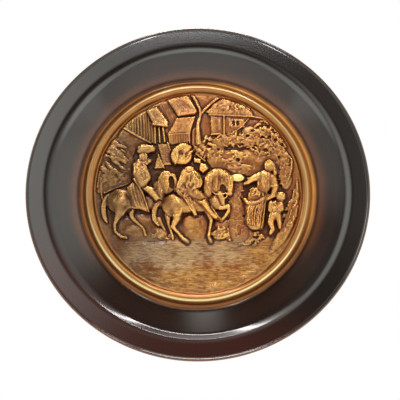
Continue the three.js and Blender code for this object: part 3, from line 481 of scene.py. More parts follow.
def ground(form):
    # low mounds behind the horses' legs
    form.begin(1.0)
    form.blob([(-77.5, -25.1), (-58.9, -22.1), (-43.1, -25.1), (-31.6, -35.3), (-28, -47), (-44.5, -49.2),
        (-77.5, -48.2), (-80.4, -36.8)], 1.0, bevel=6)
    form.blob([(-14.4, -25.1), (8.5, -23.6), (5.7, -47), (-8.7, -47), (-14.4, -36.8)], 1.0, bevel=6)
    form.stand(0.2, moat=0.5)
    tufts = ((-35.9, -41.9, 7.2, 5.8), (-58.9, -39.7, 11.6, 6.5), (20, -42.6, 7.2, 5.8),
        (31.5, -41.9, 8.7, 6.5), (45.8, -42.6, 8, 5.8), (-5.8, -30.9, 8.7, 7.2), (37.2, -30.9, 8.7, 7.2),
        (22.9, -32.4, 7.2, 5.8))
    for u, v, wide, tall in tufts:
        form.ball((u, v), (wide, tall), 1.2, power=0.6, foot=0.2)
    form.leaves((30.1, -41.9), (17.4, 7.2), 60, 2.2, 1.2, 20, 80, 0.8, foot=0.7, seed=51)
    form.leaves((50.1, -47), (17.4, 7.2), 60, 2.2, 1.2, 20, 80, 0.7, foot=0.4, seed=52)
    form.leaves((-34.5, -44.1), (10.1, 4.3), 24, 1.9, 0.9, 20, 80, 0.5, seed=53)
    form.leaves((35.8, -20.7), (7.2, 17.4), 40, 2.2, 1.2, 80, 40, 0.7, seed=54)
    form.stand(0.5, moat=0.6)
    # right bank with its deep path edge
    form.blob([(96.3, 12.9), (98.2, -10.4), (94.6, -29.5), (83.1, -49.9), (68.1, -62.4), (71.7, -48.5),
        (83.1, -28), (92.5, -1.7)], 1.0)
    form.leaves((90.3, -20.7), (7, 21.7), 55, 2.2, 1.3, 60, 50, 0.8, foot=0.7, seed=55, turn=-25)
    form.stand(1.0, moat=1.3, reach=2.0)
    form.limb([(92.9, 1.2, 1), (90.3, -10.4, 1.2), (85.3, -25.1, 1.2), (78.8, -39.7, 1.2)], 1.0)
    form.stand(1.2, moat=1.4, reach=1.8)


def horse_one(form):
    form.begin(0.6)
    # tail
    form.limb(curve([(-81.8, -3.4, 2.3), (-87.3, -7.5, 2.9), (-90.1, -16.3, 2.9), (-89.3, -25.1, 2.6),
        (-86.8, -30.9, 1.4)]), 0.8)
    form.strands([(-76.8, -6.1), (-86.1, -7.5), (-91.9, -16.3), (-89, -29.5)], [(-76.8, -9), (-82.5, -11.9),
        (-86.1, -17.8), (-84.7, -30.9)], 4, 0.5, -0.6, seed=61)
    form.stand(1.4, moat=1.1, reach=1.8)
    form.begin(0.8)
    form.limb(curve([(-63.5, -18.5, 3.8), (-63.2, -25.8, 2.5), (-57.4, -32.1, 1.7), (-52.3, -36.8, 1.4),
        (-49.7, -43.8, 1.6)]), 0.9)
    form.stand(1.3, moat=1.2, reach=2.0)
    form.begin(1.6)
    form.limb([(-72.9, -13.4, 10.1), (-74.4, -20.7, 5.8), (-77.5, -28.7, 2.6)], 0.62, foot=0.3)
    form.limb([(-77.5, -28.7, 2.5), (-79.5, -33.8, 1.9), (-78.7, -40, 1.6), (-73.5, -45.2, 1.7),
        (-67.8, -46.4, 1.7)], 0.9)
    form.ball((-73.8, -10.7), (13.9, 12.7), 3.3, power=0.55)
    form.limb([(-71.8, -9.7, 10.1), (-61.7, -10.7, 8.1), (-47.4, -12.2, 7.5)], 0.5, foot=0.3)
    form.lines([curve([(-65.3, -19.2), (-62.5, -17.2), (-58.9, -18.6), (-47.4, -20.1)])], 1.0, 0.7)
    form.lines([curve([(-69.2, -18.5), (-66.6, -11.9), (-68, -4.6)])], 1.6, -0.5)
    form.lines([curve([(-70.9, -25.1), (-68.6, -20), (-64.9, -17)])], 0.9, 0.7)
    form.stand(1.5, moat=1.5, reach=2.4)
    # blanket, saddle and the strap
    form.slab([(-68.6, 2.7), (-63.2, 7.8), (-56.7, 6.4), (-51.7, -0.2), (-47.4, -16.3), (-46, -22.9),
        (-63.2, -16.3), (-66.8, -6.1)], 1.0, bevel=2.0)
    form.strands([(-65.3, 4.2), (-63.2, -6.1), (-58.9, -16.3)], [(-53.1, 2.7), (-48.8, -9), (-46.7, -20.7)],
        5, 0.7, 0.6, seed=62)
    form.stand(3.9, reach=1.4)


def horse_one_head(form):
    form.ball((-30.9, 7.8), (9.4, 12.3), 3.0, power=0.6)
    form.limb([(-38.8, 4.2, 5.5), (-37.6, -3.1, 6.1), (-35.9, -11.9, 4.3)], 0.6, foot=0.4)
    form.limb([(-23.7, 14.4, 2.9), (-21.6, 7.1, 3.2), (-21.3, -0.2, 2)], 0.7, foot=0.4)
    form.strands([(-34.5, 18.8), (-37.4, 12.9), (-37.9, 4.2), (-35.9, -1.7)], [(-24.4, 18.8), (-25.9, 12.9),
        (-28, 4.2), (-30.2, -3.1)], 7, 0.75, 0.75, wave=0.4, seed=65)
    form.strands([(-42.4, 2.7), (-41.7, -9)], [(-33.1, -0.2), (-34.5, -10.4)], 4, 0.8, 0.5, wave=0.4,
        seed=66)
    form.stand(1.9, moat=1.3, reach=2.2)
    # deep shade before the chest
    form.ball((-25.2, 7.8), (2.2, 6.1), 0.3, turn=8)
    form.stand(0.6, moat=0.6)


def rider_one(form):
    form.limb([(-51, 2.7, 3.2), (-44.5, -1.7, 4.1), (-38.8, -9, 3.2), (-35.6, -10.2, 2)], 0.85, foot=0.3)
    form.strands([(-52.8, -1.7), (-48.8, 2.7), (-44.5, 2.7)], [(-48.8, -9), (-43.1, -7.5), (-37.4, -6.1)],
        5, 0.7, 0.5, seed=71)
    form.stand(4.2, moat=1.2, reach=1.7)
    # body
    form.limb([(-58.4, 24.6, 4.6), (-56.2, 15.9, 6.8), (-53.6, 7.6, 6)], 0.75, foot=0.5)
    form.limb([(-56, 27.6, 4.1), (-50.3, 27.6, 3.8)], 0.7, foot=0.6)
    # sleeve
    form.limb([(-56.7, 23.5, 2.9), (-51, 18.8, 3.9), (-47.4, 12.2, 2.9), (-50.3, 6.4, 2.2),
        (-53.1, 4.6, 1.7)], 0.95, foot=1.3)
    form.strands([(-57.6, 22), (-53, 25)], [(-52.4, 7.4), (-45.6, 12.6)], 6, 0.5, -0.5, wave=0.4, seed=72)
    form.leaves((-51.4, 16.4), (3.8, 8), 12, 2.8, 0.8, 120, 30, 0.5, foot=2.9, seed=74, dome=1.4)
    form.stand(3.6, moat=1.5, reach=2.2)
    form.ball((-52.8, 33.1), (4.9, 5.2), 2.1)
    form.strands([(-56.7, 35.6), (-57.4, 28.3)], [(-48.8, 35.6), (-47.1, 27.6)], 6, 0.7, 0.7, wave=0.3,
        seed=73)
    form.ball((-46.7, 29), (2.3, 2.3), 1.6)
    form.stand(4.2, moat=1.1, reach=1.7)
    form.ball((-51, 39.3), (8.4, 3.2), 1.2, power=0.4, turn=4)
    form.ball((-53.8, 41.8), (4.9, 3.9), 2.2)
    form.ball((-49.5, 42.2), (3.8, 3.5), 2.2)
    form.ball((-44.5, 41), (3.9, 3.8), 2.6)
    form.lines([curve([(-58.9, 39.3), (-52.8, 36.3), (-43.1, 37.1)])], 0.8, -0.5)
    form.stand(4.8, moat=1.3, reach=2.0)
    form.limb([(-61.9, 10.6, 1), (-56.7, 2.9, 1), (-52.8, -3.9, 0.9), (-46.7, -21.6, 0.9)], 1.3)
    form.stand(5.4, moat=0.8, reach=1.1)


def horse_two_far(form):
    form.limb([(-28.7, -23.6, 3.8), (-28, -32.4, 2), (-25.6, -39.7, 1.4), (-23.7, -47, 1.6)], 0.85)
    form.limb([(-37.4, -28.7, 2.9), (-34.5, -33.8, 1.7), (-31.6, -38.2, 1.2)], 0.7)
    form.stand(1.6, moat=1.3, reach=2.0)


def horse_two(form):
    form.begin(0.6)
    # tail
    form.limb(curve([(-36.2, -12.2, 2.6), (-40.5, -16.3, 2.9), (-41.9, -23.6, 2.6), (-40.9, -29.5, 2.3),
        (-37.6, -34.1, 1.6)]), 0.8)
    form.strands([(-37.4, -11.9), (-42.4, -19.2), (-42.4, -30.9)], [(-34.5, -16.3), (-38.1, -22.1),
        (-38.1, -32.4)], 3, 0.6, -0.6, seed=81)
    form.stand(2.4, moat=1.4, reach=2.2)
    form.begin(1.6)
    form.ball((-23.9, -15.1), (10.9, 11.6), 3.6, power=0.55)
    form.limb([(-20.1, -14.8, 9), (-7.2, -14.8, 7.2), (7.1, -14.1, 7.2)], 0.55, foot=0.3)
    form.limb([(-19.9, -21.4, 6.1), (-20.1, -27.3, 4.1), (-23.7, -36, 2.3)], 0.9, foot=0.2)
    form.limb([(-23.7, -36, 2.2), (-18.4, -41.9, 1.7), (-14.4, -47, 1.9), (-9.8, -50.2, 2.2)], 0.95)
    form.limb([(8.5, -17, 4.9), (11.4, -23.6, 3.5), (12.8, -29.5, 2)], 0.9, foot=0.2)
    form.limb([(12.8, -29.5, 1.9), (11.4, -38.2, 1.4), (10.3, -45.2, 1.7), (12.3, -49.9, 2.3)], 1.0)
    form.lines([curve([(-31.6, -20), (-27.6, -24.8), (-21.6, -26.2), (-15.8, -24.3)])], 0.9, 0.6)
    form.lines([curve([(-20.1, -9), (-16.1, -14.8), (-15.3, -22.1)])], 1.6, 0.5)
    form.stand(2.1, moat=1.6, reach=2.4)
    # chest and the raised foreleg
    form.ball((16.9, -11.6), (7.5, 8.1), 3.4, power=0.55)
    form.limb([(21.5, -17, 3.2), (25, -17, 2.6), (29.3, -15.1, 2), (29.3, -20.7, 1.9), (25.8, -25.8, 1.7),
        (22.2, -29.5, 1.9)], 0.9, foot=0.3)
    form.limb([(14.3, -20.7, 2.9), (17.1, -25.8, 1.7), (20, -28.7, 1.4)], 0.9, foot=0.3)
    form.stand(2.3, moat=1.4, reach=2.0)


def horse_two_neck(form):
    # the arched neck, its mane hanging in strands on this side
    form.begin(1.2)
    form.ball((19.5, 8), (11.5, 12.5), 2.6)
    form.limb(curve([(9.5, -4, 4), (9.5, 8, 4.2), (14, 15.5, 4.6), (21, 17, 4.8), (28, 13.5, 4.4),
        (31, 5, 3.8), (30.5, -3, 3)]), 0.62, foot=0.5)
    form.strands([(9, 13), (8.6, 5), (12.5, -5)], [(19.5, 20.5), (19, 10), (18.5, -1)], 8, 0.5, 0.85,
        wave=0.45, seed=85)
    form.strands([(20.5, 20.5), (22, 11), (23, 4)], [(32, 13), (33.5, 6), (32, -3)], 9, 0.5, 0.85,
        wave=0.45, seed=86)
    form.strands([(10, 14), (10, 3)], [(31, 14), (31, 3)], 14, 0.4, -0.5, wave=0.5, seed=87)
    form.stand(2.6, moat=1.5, reach=2.2)
    form.ball((24, 0.8), (2.6, 4.6), 0.5, turn=8)
    form.stand(2.0, moat=0.5, reach=1.4)
    # the bent head below, and the reins round it
    form.begin(0.8)
    form.limb([(21, -4, 3.6), (23, -9, 3.2), (24, -13.5, 2.3)], 0.8, foot=0.4)
    form.stand(2.6)
    form.limb(curve([(13, -1.5, 0.8), (17.5, -4.3, 0.9), (23, -4.2, 0.9), (27.4, -3.4, 0.9),
        (27.6, -7, 0.9), (24.4, -9, 0.8)]), 1.2)
    form.stand(4.4, moat=0.8, reach=1.2)


def rider_two(form):
    # straps, scabbard and skirt over the horse's side
    form.slab([(-22.3, 2), (-14.4, 4.9), (-7.2, -1.7), (-5.8, -10.4), (-0.1, -25.1), (-3.6, -25.8),
        (-14.4, -9), (-20.1, -3.9)], 0.8, bevel=1.5)
    form.strands([(-20.1, 1.2), (-2.9, -25.8)], [(-7.2, -0.2), (0.7, -25.1)], 4, 0.8, 0.8, wave=0.3,
        seed=91)
    form.stand(4.6, moat=1.1, reach=1.6)
    form.slab([(-5.8, -7.5), (-0.1, -3.4), (7.1, -5.3), (10.3, -9), (5.7, -14.1), (-0.1, -14.8)], 1.5,
        bevel=2)
    form.limb([(4.2, -10.4, 4.6), (8.5, -17, 2.9), (12.7, -23, 2.2), (17.1, -27.3, 1.9)], 0.95, foot=0.5)
    form.strands([(0.7, -3.9), (-0.8, -13.4)], [(9.3, -7.5), (7.1, -14.8)], 4, 0.7, 0.7, seed=92)
    form.limb([(12.7, -16.7, 0.7), (17.1, -22.9, 0.7), (21.9, -29.3, 0.7)], 1.2, foot=0.6)
    form.stand(4.7, moat=1.2, reach=1.8)
    # jacket with puffed sleeves
    form.slab([(-21.6, 2.7), (-14.4, 6.4), (-5.8, 1.2), (2.8, -0.2), (9.3, -8.3), (2.8, -11.9),
        (-7.2, -7.5), (-14.4, -4.6)], 1.4, bevel=2.5)
    form.ball((-5.8, 9.7), (9.6, 10.4), 3.0)
    form.ball((-0.1, 7.4), (4.9, 6.7), 3.6)
    form.limb([(-12.3, 17.6, 3.8), (-14.7, 9.3, 3.8), (-18.4, 3.4, 2.6)], 0.8, foot=0.6)
    form.leaves((-5.4, 9.4), (8, 8.4), 34, 3.0, 0.9, 100, 50, 0.75, foot=1.9, seed=93, dome=1.5)
    form.leaves((-8, -2), (9, 4.5), 22, 2.8, 0.9, 60, 50, 0.6, foot=1.0, seed=96, dome=0.4)
    form.strands([(-16.6, 14.4), (-19.4, 4.2)], [(-11.5, 15.9), (-14.4, 2.7)], 3, 0.6, -0.5, wave=0.2,
        seed=94)
    form.lines([curve([(-5.1, 17.3), (-2.2, 12.2), (0.7, 7.8), (-0.1, 2)]), curve([(2.8, 14.4), (5, 7.8),
        (2.8, 1.2)])], 0.9, 0.8)
    form.stand(4.2, moat=1.6, reach=2.4)
    form.ball((-8.4, 20.3), (4.9, 3.5), 1.6)
    form.strands([(-12.3, 21.7), (-12.7, 17)], [(-4.4, 21.7), (-3.6, 17)], 6, 0.5, 0.6, seed=95)
    form.stand(5.2, reach=1.4)
    # broad hat seen from behind, its plume curled round it
    form.begin(0.8)
    form.ball((-15.6, 35), (9.8, 10.4), 1.3, power=0.35, turn=25)
    form.ball((-15.4, 29.4), (4.8, 4.4), 2.6)
    form.limb(curve([(-21.6, 26.4, 1.8), (-24, 33, 2.5), (-20.6, 40.6, 2.7), (-14, 44, 2.4),
        (-7.6, 42.4, 1.8)]), 0.85, foot=0.8)
    form.leaves((-13.4, 36.6), (6.4, 5.4), 20, 3.4, 1.2, 50, 50, 0.9, foot=1.2, seed=97, dome=0.9)
    form.leaves((-21, 35), (2.4, 7), 12, 3.4, 1.0, 80, 30, 0.7, foot=1.8, seed=98, dome=0.9)
    form.stand(5.0, moat=1.7, reach=2.4)


def trunk_and_tray(form):
    # an old trunk overgrown with leaves, and the tray held up before it
    form.begin(1.6)
    form.limb(curve([(37.2, 7.6, 7.5), (35, -6, 5.6), (38.4, -18, 6.6), (35.6, -30, 6), (39.6, -42, 9.5)]),
        0.13, foot=0.05)
    form.stand(0.4, moat=0.1, reach=1.4)
    form.leaves((37.2, -17), (8, 28), 120, 2.4, 1.0, 80, 60, 0.7, foot=0.2, seed=101, dome=0.4)
    form.leaves((43, -30), (6, 12), 26, 2.4, 1.2, 40, 70, 0.7, foot=0.3, seed=102, dome=0.4)
    form.stand(0.5, moat=0.15, reach=1.0)
    form.ball(TRAY_PLACE, TRAY_SIZE, 1.5, power=0.22)
    form.stand(2.4, reach=1.6)


def woman(form):
    # the long skirt
    form.begin(1.0)
    form.limb([(57, -8, 9.5), (54.6, -20, 9), (54.4, -31, 8.2)], 0.3, foot=0.6)
    form.blob([(46, -10), (57, -6), (67, -9), (65.6, -22), (63.6, -36), (58, -38.6), (50, -35.6),
        (44.8, -33), (45, -21)], 1.6)
    form.strands([(50, -11), (46.4, -22), (47, -33)], [(66, -10), (64, -24), (62, -37)], 8, 0.7, 1.1,
        wave=0.5, seed=111)
    form.strands([(52, -12), (48.4, -22), (48, -34)], [(66, -12), (62, -24), (60, -37)], 7, 0.6, -0.7,
        wave=0.4, seed=114)
    form.stand(1.8, moat=1.3, reach=2.0)
    # the gathered apron and its hem
    form.begin(0.8)
    form.ball((57.6, -3), (10.4, 6.4), 2.2, turn=24)
    form.limb(curve([(44.6, -8.8, 1.6), (48.6, -13, 2.1), (56, -12.4, 2.2), (63, -8.6, 2), (68, -5, 1.6)]),
        0.8, foot=0.7)
    form.leaves((58, -2), (8.6, 5), 30, 2.4, 0.8, 60, 60, 0.7, foot=2.4, seed=112)
    form.stand(3.0, moat=1.0, reach=1.6)
    # bodice and sleeves
    form.begin(1.0)
    form.limb([(65, 12.6, 7.6), (63.4, 4, 7)], 0.42, foot=1.0)
    form.limb([(59.6, 14, 4), (52.6, 11, 3.4), (48.2, 7.4, 2.4), (45, 6.4, 1.5)], 0.8, foot=0.7)
    form.limb([(71.6, 12, 4.2), (74.4, 3, 3.5), (72.4, -5, 3), (67, -8.6, 2.2)], 0.8, foot=0.7)
    form.strands([(60, 16), (60.4, 2)], [(69.4, 16), (68.4, 2)], 5, 0.6, 0.7, wave=0.6, seed=113)
    form.leaves((54, 10.6), (6, 3.4), 12, 2, 0.8, 110, 40, 0.6, foot=2.0, seed=115, dome=0.5)
    form.leaves((73, 5), (3.4, 9), 14, 2, 0.8, 20, 40, 0.6, foot=2.0, seed=116, dome=0.5)
    form.stand(3.2, moat=1.3, reach=2.0)
    # head, with a kerchief that falls to the shoulders
    form.begin(0.8)
    form.ball((69, 24), (5.4, 6.4), 2.6)
    form.limb([(73, 23, 2.6), (74.4, 17, 2.4)], 0.7, foot=0.8)
    form.lines([curve([(64.6, 20), (65.4, 27), (69.6, 29), (73, 25.4), (73.6, 18)])], 0.7, 0.8)
    form.lines([curve([(66.2, 22.8), (67.6, 22)]), curve([(69, 22), (70.6, 22.8)]), [(67.6, 19.6),
        (69.6, 19.6)]], 0.45, -0.5)
    form.stand(3.8, moat=1.3, reach=1.8)
    # the child
    form.begin(1.0)
    form.limb([(71.4, -25, 4), (69.2, -32, 3.2), (71.4, -38.6, 2.4), (69, -42.4, 1.9)], 0.85, foot=0.3)
    form.limb([(76.4, -25, 3.6), (77.6, -32, 2.7), (78, -36.6, 1.9)], 0.85, foot=0.3)
    form.ball((74.2, -17.6), (6.8, 8.2), 2.8)
    form.limb([(70, -13, 2.7), (68.8, -20, 2.1), (72.4, -22.6, 1.7)], 0.9, foot=0.9)
    form.limb([(79.4, -13, 2.7), (80.4, -19, 2.1), (77, -22, 1.7)], 0.9, foot=0.9)
    form.leaves((74.4, -18), (5, 6.4), 16, 2.2, 0.8, 40, 70, 0.6, foot=2.2, seed=121, dome=0.9)
    form.stand(2.8, moat=1.5, reach=2.2)
    form.begin(0.6)
    form.ball((79.6, -6.4), (5.2, 5.2), 2.4)
    form.strands([(75.4, -3.4), (75.2, -9)], [(83.6, -3.4), (84, -9)], 7, 0.5, 0.6, wave=0.4, seed=122)
    form.stand(3.4, moat=1.2, reach=1.7)


def lay_road(picture):
    """The road in front, with ruts along it and clods at the picture's lower edge."""
    road = smooth_step((-46 - picture.v + 4 * picture.noise(8, 11)) / 7)
    low = smooth_step((-68 - picture.v) / 10)
    swell = 0.6 + 0.4 * picture.noise(12, 3, stretch=2.5)
    ruts = picture.noise(2.4, 3, stretch=5, turn=-5) + 0.7 * picture.noise(1.3, 4, stretch=4, turn=-14)
    clods = np.clip(picture.noise(4.5, 7, stretch=2.2, turn=8) - 0.15, 0, 1)
    picture.h += road * (swell + (0.16 + 0.24 * low) * ruts + 0.9 * low * clods)


def draw_picture():
    """The whole scene, from the hill and houses at the back to the riders and the woman."""
    picture = Picture()
    lay_road(picture)
    form = Form(picture)
    for draw in (hill_left, house_left, house_right, foliage, tree, clutter_mid, stairs, ground,
                 trunk_and_tray, horse_one, horse_one_head, rider_one, horse_two_far, horse_two,
                 horse_two_neck, rider_two, woman):
        draw(form)
    picture.h += 0.16 * picture.noise(2.6, 8) + 0.12 * picture.noise(1.3, 9)
    picture.h = 0.5 * soften(picture.h, 0.35 / picture.step) + 0.5 * picture.h
    # the picture runs out into the hollow inside the bead
    inner = smooth_step((100.5 - np.hypot(picture.u, picture.v)) / 5)
    picture.h = (GROUND + RELIEF_RISE * picture.h) * inner + PICTURE_EDGE * (1 - inner)
    return picture


def hollow_back(picture):
    """The back of the sheet: under the lowest metal nearby, rounded over, one sheet thinner."""
    reach = int(round(BACK_SMOOTHING / picture.step))
    low = picture.h
    for axis in (0, 1):
        low = np.minimum.reduce([np.roll(low, k, axis) for k in range(-reach, reach + 1)])
    return np.maximum(WALL_GAP, soften(low, reach / 3) - SHEET)


def on_disc(x, y):
    """A point of the square from -1 to 1 laid on the round picture, rings for squares."""
    wide = np.abs(x) > np.abs(y)
    radius = np.where(wide, x, y)
    ratio = np.where(wide, y, x) / np.where(radius == 0, 1, radius)
    angle = np.where(wide, math.pi / 4 * ratio, math.pi / 2 - math.pi / 4 * ratio)
    return 100 * radius * np.cos(angle), 100 * radius * np.sin(angle)


def divide_disc(picture, depth, tolerance):
    """Halves right-angled triangles wherever the metal strays from them by more than the
    tolerance, and round the edge until it is as fine as the rim."""
    side = GRID + 1
    x, y = np.meshgrid(np.linspace(-1, 1, side), np.linspace(-1, 1, side))
    u, v = on_disc(x, y)
    depths = picture.read(depth, u, v).ravel()
    stray = np.zeros(side * side)
    edge = np.arange(0, side, 4 * GRID // RIM_SEGMENTS)
    for spots in (edge, edge * side, (side - 1) * side + edge, edge * side + side - 1):
        stray[spots] = FAR
    first, last = 0, side * side - 1
    levels = [np.array([[first, last, side - 1], [last, first, side * (side - 1)]])]
    for _ in range(2 * int(math.log2(GRID)) - 1):
        levels.append(halves(levels[-1]))
    finer = np.zeros(1)
    for triangles in reversed(levels):
        a, b, c = triangles.T
        middle = (a + b) // 2
        own = np.abs(depths[middle] - (depths[a] + depths[b]) / 2)
        np.maximum.at(stray, middle, np.maximum(own, finer))
        worst = stray[middle]
        count = len(triangles) // 2
        finer = np.maximum(worst[:count], worst[count:])
    kept = []
    whole = levels[0]
    for _ in levels:
        split = stray[(whole[:, 0] + whole[:, 1]) // 2] > tolerance
        kept.append(whole[~split])
        whole = halves(whole[split])
    triangles = np.concatenate(kept + [whole])
    used, index = np.unique(triangles.ravel(), return_inverse=True)
    places = np.stack([u.ravel()[used], v.ravel()[used], depths[used]], 1)
    return places, index.reshape(-1, 3)


def halves(triangles):
    """Each right-angled triangle cut in two from its right angle."""
    a, b, c = triangles.T
    middle = (a + b) // 2
    return np.concatenate([np.stack([c, a, middle], 1), np.stack([b, c, middle], 1)])


def rounded(corners):
    """A section through corners of (radius, depth, reach), each bend eased over its reach, with a
    point close beyond each end of the curve so that the straights stay straight."""
    line = [corners[0][:2]]
    for before, bend, after in zip(corners, corners[1:], corners[2:]):
        a, b, c = Vector(before[:2]), Vector(bend[:2]), Vector(after[:2])
        back, on = (a - b).normalized(), (c - b).normalized()
        reach = bend[2]
        start, end = b + back * reach, b + on * reach
        line.append(tuple(start + back * 0.15))
        for i in range(BEND_STEPS + 1):
            t = i / BEND_STEPS
            line.append(tuple(start.lerp(b, t).lerp(b.lerp(end, t), t)))
        line.append(tuple(end + on * 0.15))
    return line + [corners[-1][:2]]


def rim_front():
    """The front of the rim's section, from the picture's edge to the flange's end."""
    bead = []
    for i in range(BEAD_STEPS + 1):
        angle = math.pi * i / BEAD_STEPS
        across = (1 - math.cos(angle)) / 2
        foot = PICTURE_EDGE + (SHEET - PICTURE_EDGE) * across
        bead.append((PICTURE_RADIUS + BEAD_WIDTH * across, foot + BEAD_RISE * math.sin(angle)))
    flange = SHEET + SLOPE_RISE + STEP_RISE + FLANGE_RISE / 2
    bends = [bead[-1], (SEAT_OUTER, SHEET, SEAT_BEND), (STEP_OUTER, flange, STEP_BEND),
             (LIP_CENTRE - 1.7 * LIP_RADIUS, flange, LIP_BEND), (LIP_CENTRE - LIP_RADIUS, flange - 0.1)]
    return bead + rounded(bends)[1:]


def set_back(front):
    """The same section on the sheet's other side."""
    back = []
    for i in range(1, len(front)):
        before, here = front[i - 1], front[i]
        after = front[min(i + 1, len(front) - 1)]
        along = Vector(after) - Vector(before)
        away = Vector((along[1], -along[0])).normalized() * SHEET
        back.append((here[0] + away[0], here[1] + away[1]))
    return back


def lip_section(depth):
    """The rolled edge's section, three quarters of a circle from its front round to its back."""
    angles = [0.75 * math.pi * (1 - 2 * i / LIP_STEPS) for i in range(LIP_STEPS + 1)]
    return [(LIP_CENTRE + LIP_RADIUS * math.cos(a), depth + LIP_RADIUS * math.sin(a)) for a in angles]


def add_object(name, data):
    """A new object in the scene."""
    made = bpy.data.objects.new(name, data)
    bpy.context.scene.collection.objects.link(made)
    return made


def evaluated_mesh(source):
    """The plain mesh that a curve or a node tree comes out as."""
    bpy.context.view_layer.update()
    return bpy.data.meshes.new_from_object(source.evaluated_get(bpy.context.evaluated_depsgraph_get()))


def mark(mesh, name, values):
    """Keeps a number at each of the mesh's first points, and zero at the others."""
    every = np.zeros(len(mesh.vertices), np.float32)
    every[:len(values)] = values
    mesh.attributes.new(name, "FLOAT", "POINT").data.foreach_set("value", every)


def strip(inside, outside):
    """Triangles between two rings of (angle, vertex), the nearer next point taking each step."""
    def angle(ring, n):
        return ring[n % len(ring)][0] + 2 * math.pi * (n // len(ring))

    faces = []
    i = j = 0
    while i < len(inside) or j < len(outside):
        step_in = j >= len(outside) or (i < len(inside)
                                        and angle(inside, i + 1) < angle(outside, j + 1) - 1e-9)
        a, b = inside[i % len(inside)][1], outside[j % len(outside)][1]
        if step_in:
            i += 1
            faces.append((a, b, inside[i % len(inside)][1]))
        else:
            j += 1
            faces.append((a, b, outside[j % len(outside)][1]))
    return faces


def add_disc(points, faces, disc, front):
    """Adds one face of the picture, and gives its edge as a ring of (angle, vertex)."""
    places, triangles = disc
    a, b, c = (places[triangles[:, k]] for k in range(3))
    turn = (b[:, 0] - a[:, 0]) * (c[:, 1] - a[:, 1]) - (c[:, 0] - a[:, 0]) * (b[:, 1] - a[:, 1])
    wrong = (turn > 0) != front
    triangles = np.where(wrong[:, None], triangles[:, ::-1], triangles)
    start = len(points)
    points += [(UNIT * u, -depth, UNIT * v) for u, v, depth in places.tolist()]
    faces += (triangles + start).tolist()
    edge = np.nonzero(np.hypot(places[:, 0], places[:, 1]) > 100 - 1e-6)[0]
    return sorted((math.atan2(places[k, 1], places[k, 0]), int(k) + start) for k in edge)


def make_plate(picture):
    """The whole plate as one closed sheet: the picture, the rim, the lip and the hollow back."""
    points = []
    faces = []
    rings = [add_disc(points, faces, divide_disc(picture, picture.h, FRONT_TOLERANCE), True)]
    relief_points = len(points)
    front = rim_front()
    lip = lip_section(SHEET + SLOPE_RISE + STEP_RISE + FLANGE_RISE - LIP_DROP)
    section = front[1:] + lip + set_back(front)[::-2]
    for radius, depth in section:
        ring = []
        for n in range(RIM_SEGMENTS):
            angle = -math.pi + 2 * math.pi * n / RIM_SEGMENTS
            ring.append((angle, len(points)))
            points.append((radius * math.cos(angle), -depth, radius * math.sin(angle)))
        rings.append(ring)
    rings.append(add_disc(points, faces, divide_disc(picture, hollow_back(picture), BACK_TOLERANCE), False))
    for inside, outside in zip(rings, rings[1:]):
        if len(inside) == len(outside):
            for n in range(RIM_SEGMENTS):
                m = (n + 1) % RIM_SEGMENTS
                faces.append((inside[n][1], outside[n][1], outside[m][1], inside[m][1]))
        else:
            faces += strip(inside, outside)
    places = np.array(points)
    places[:, 2] -= HANGING_RADIUS
    mesh = bpy.data.meshes.new("copper_plate")
    mesh.from_pydata((places * MM).tolist(), [], faces)
    mesh.shade_smooth()
    # how far each place stands above what is close to it, and above what is further round it
    u, v = places[:relief_points, 0] / UNIT, (places[:relief_points, 2] + HANGING_RADIUS) / UNIT
    for name, reach in (("fine_relief", 1.2), ("broad_relief", 4.5)):
        mark(mesh, name, picture.read(picture.h - soften(picture.h, reach / picture.step), u, v))
    front_points = relief_points + RIM_SEGMENTS * (len(front) - 1 + len(lip) // 2)
    mark(mesh, "front_side", np.ones(front_points))
    return add_object("copper_plate", mesh)


class Value:
    """A socket of a node tree, so that its sums are written as plain expressions."""

    def __init__(self, shader, socket):
        self.shader = shader
        self.socket = socket

    def maths(self, operation, first, second):
        return self.shader.add("ShaderNodeMath", {"operation": operation}, {0: first, 1: second})

    def __add__(self, other):
        return self.maths("ADD", self, other)

    def __radd__(self, other):
        return self.maths("ADD", other, self)

    def __sub__(self, other):
        return self.maths("SUBTRACT", self, other)

    def __rsub__(self, other):
        return self.maths("SUBTRACT", other, self)

    def __mul__(self, other):
        return self.maths("MULTIPLY", self, other)

    def __rmul__(self, other):
        return self.maths("MULTIPLY", other, self)


class Tree:
    """Nodes that are added one after another, each linked as it is made."""

    def __init__(self, tree):
        self.tree = tree

    def add(self, kind, settings, sockets, out=0):
        """A node with its settings, then its sockets' values or links. Gives one of its outputs."""
        node = self.tree.nodes.new(kind)
        for name, value in settings.items():
            setattr(node, name, value)
        for name, value in sockets.items():
            if isinstance(value, Value):
                self.tree.links.new(value.socket, node.inputs[name])
            else:
                node.inputs[name].default_value = value
        return Value(self, node.outputs[out]) if len(node.outputs) else None


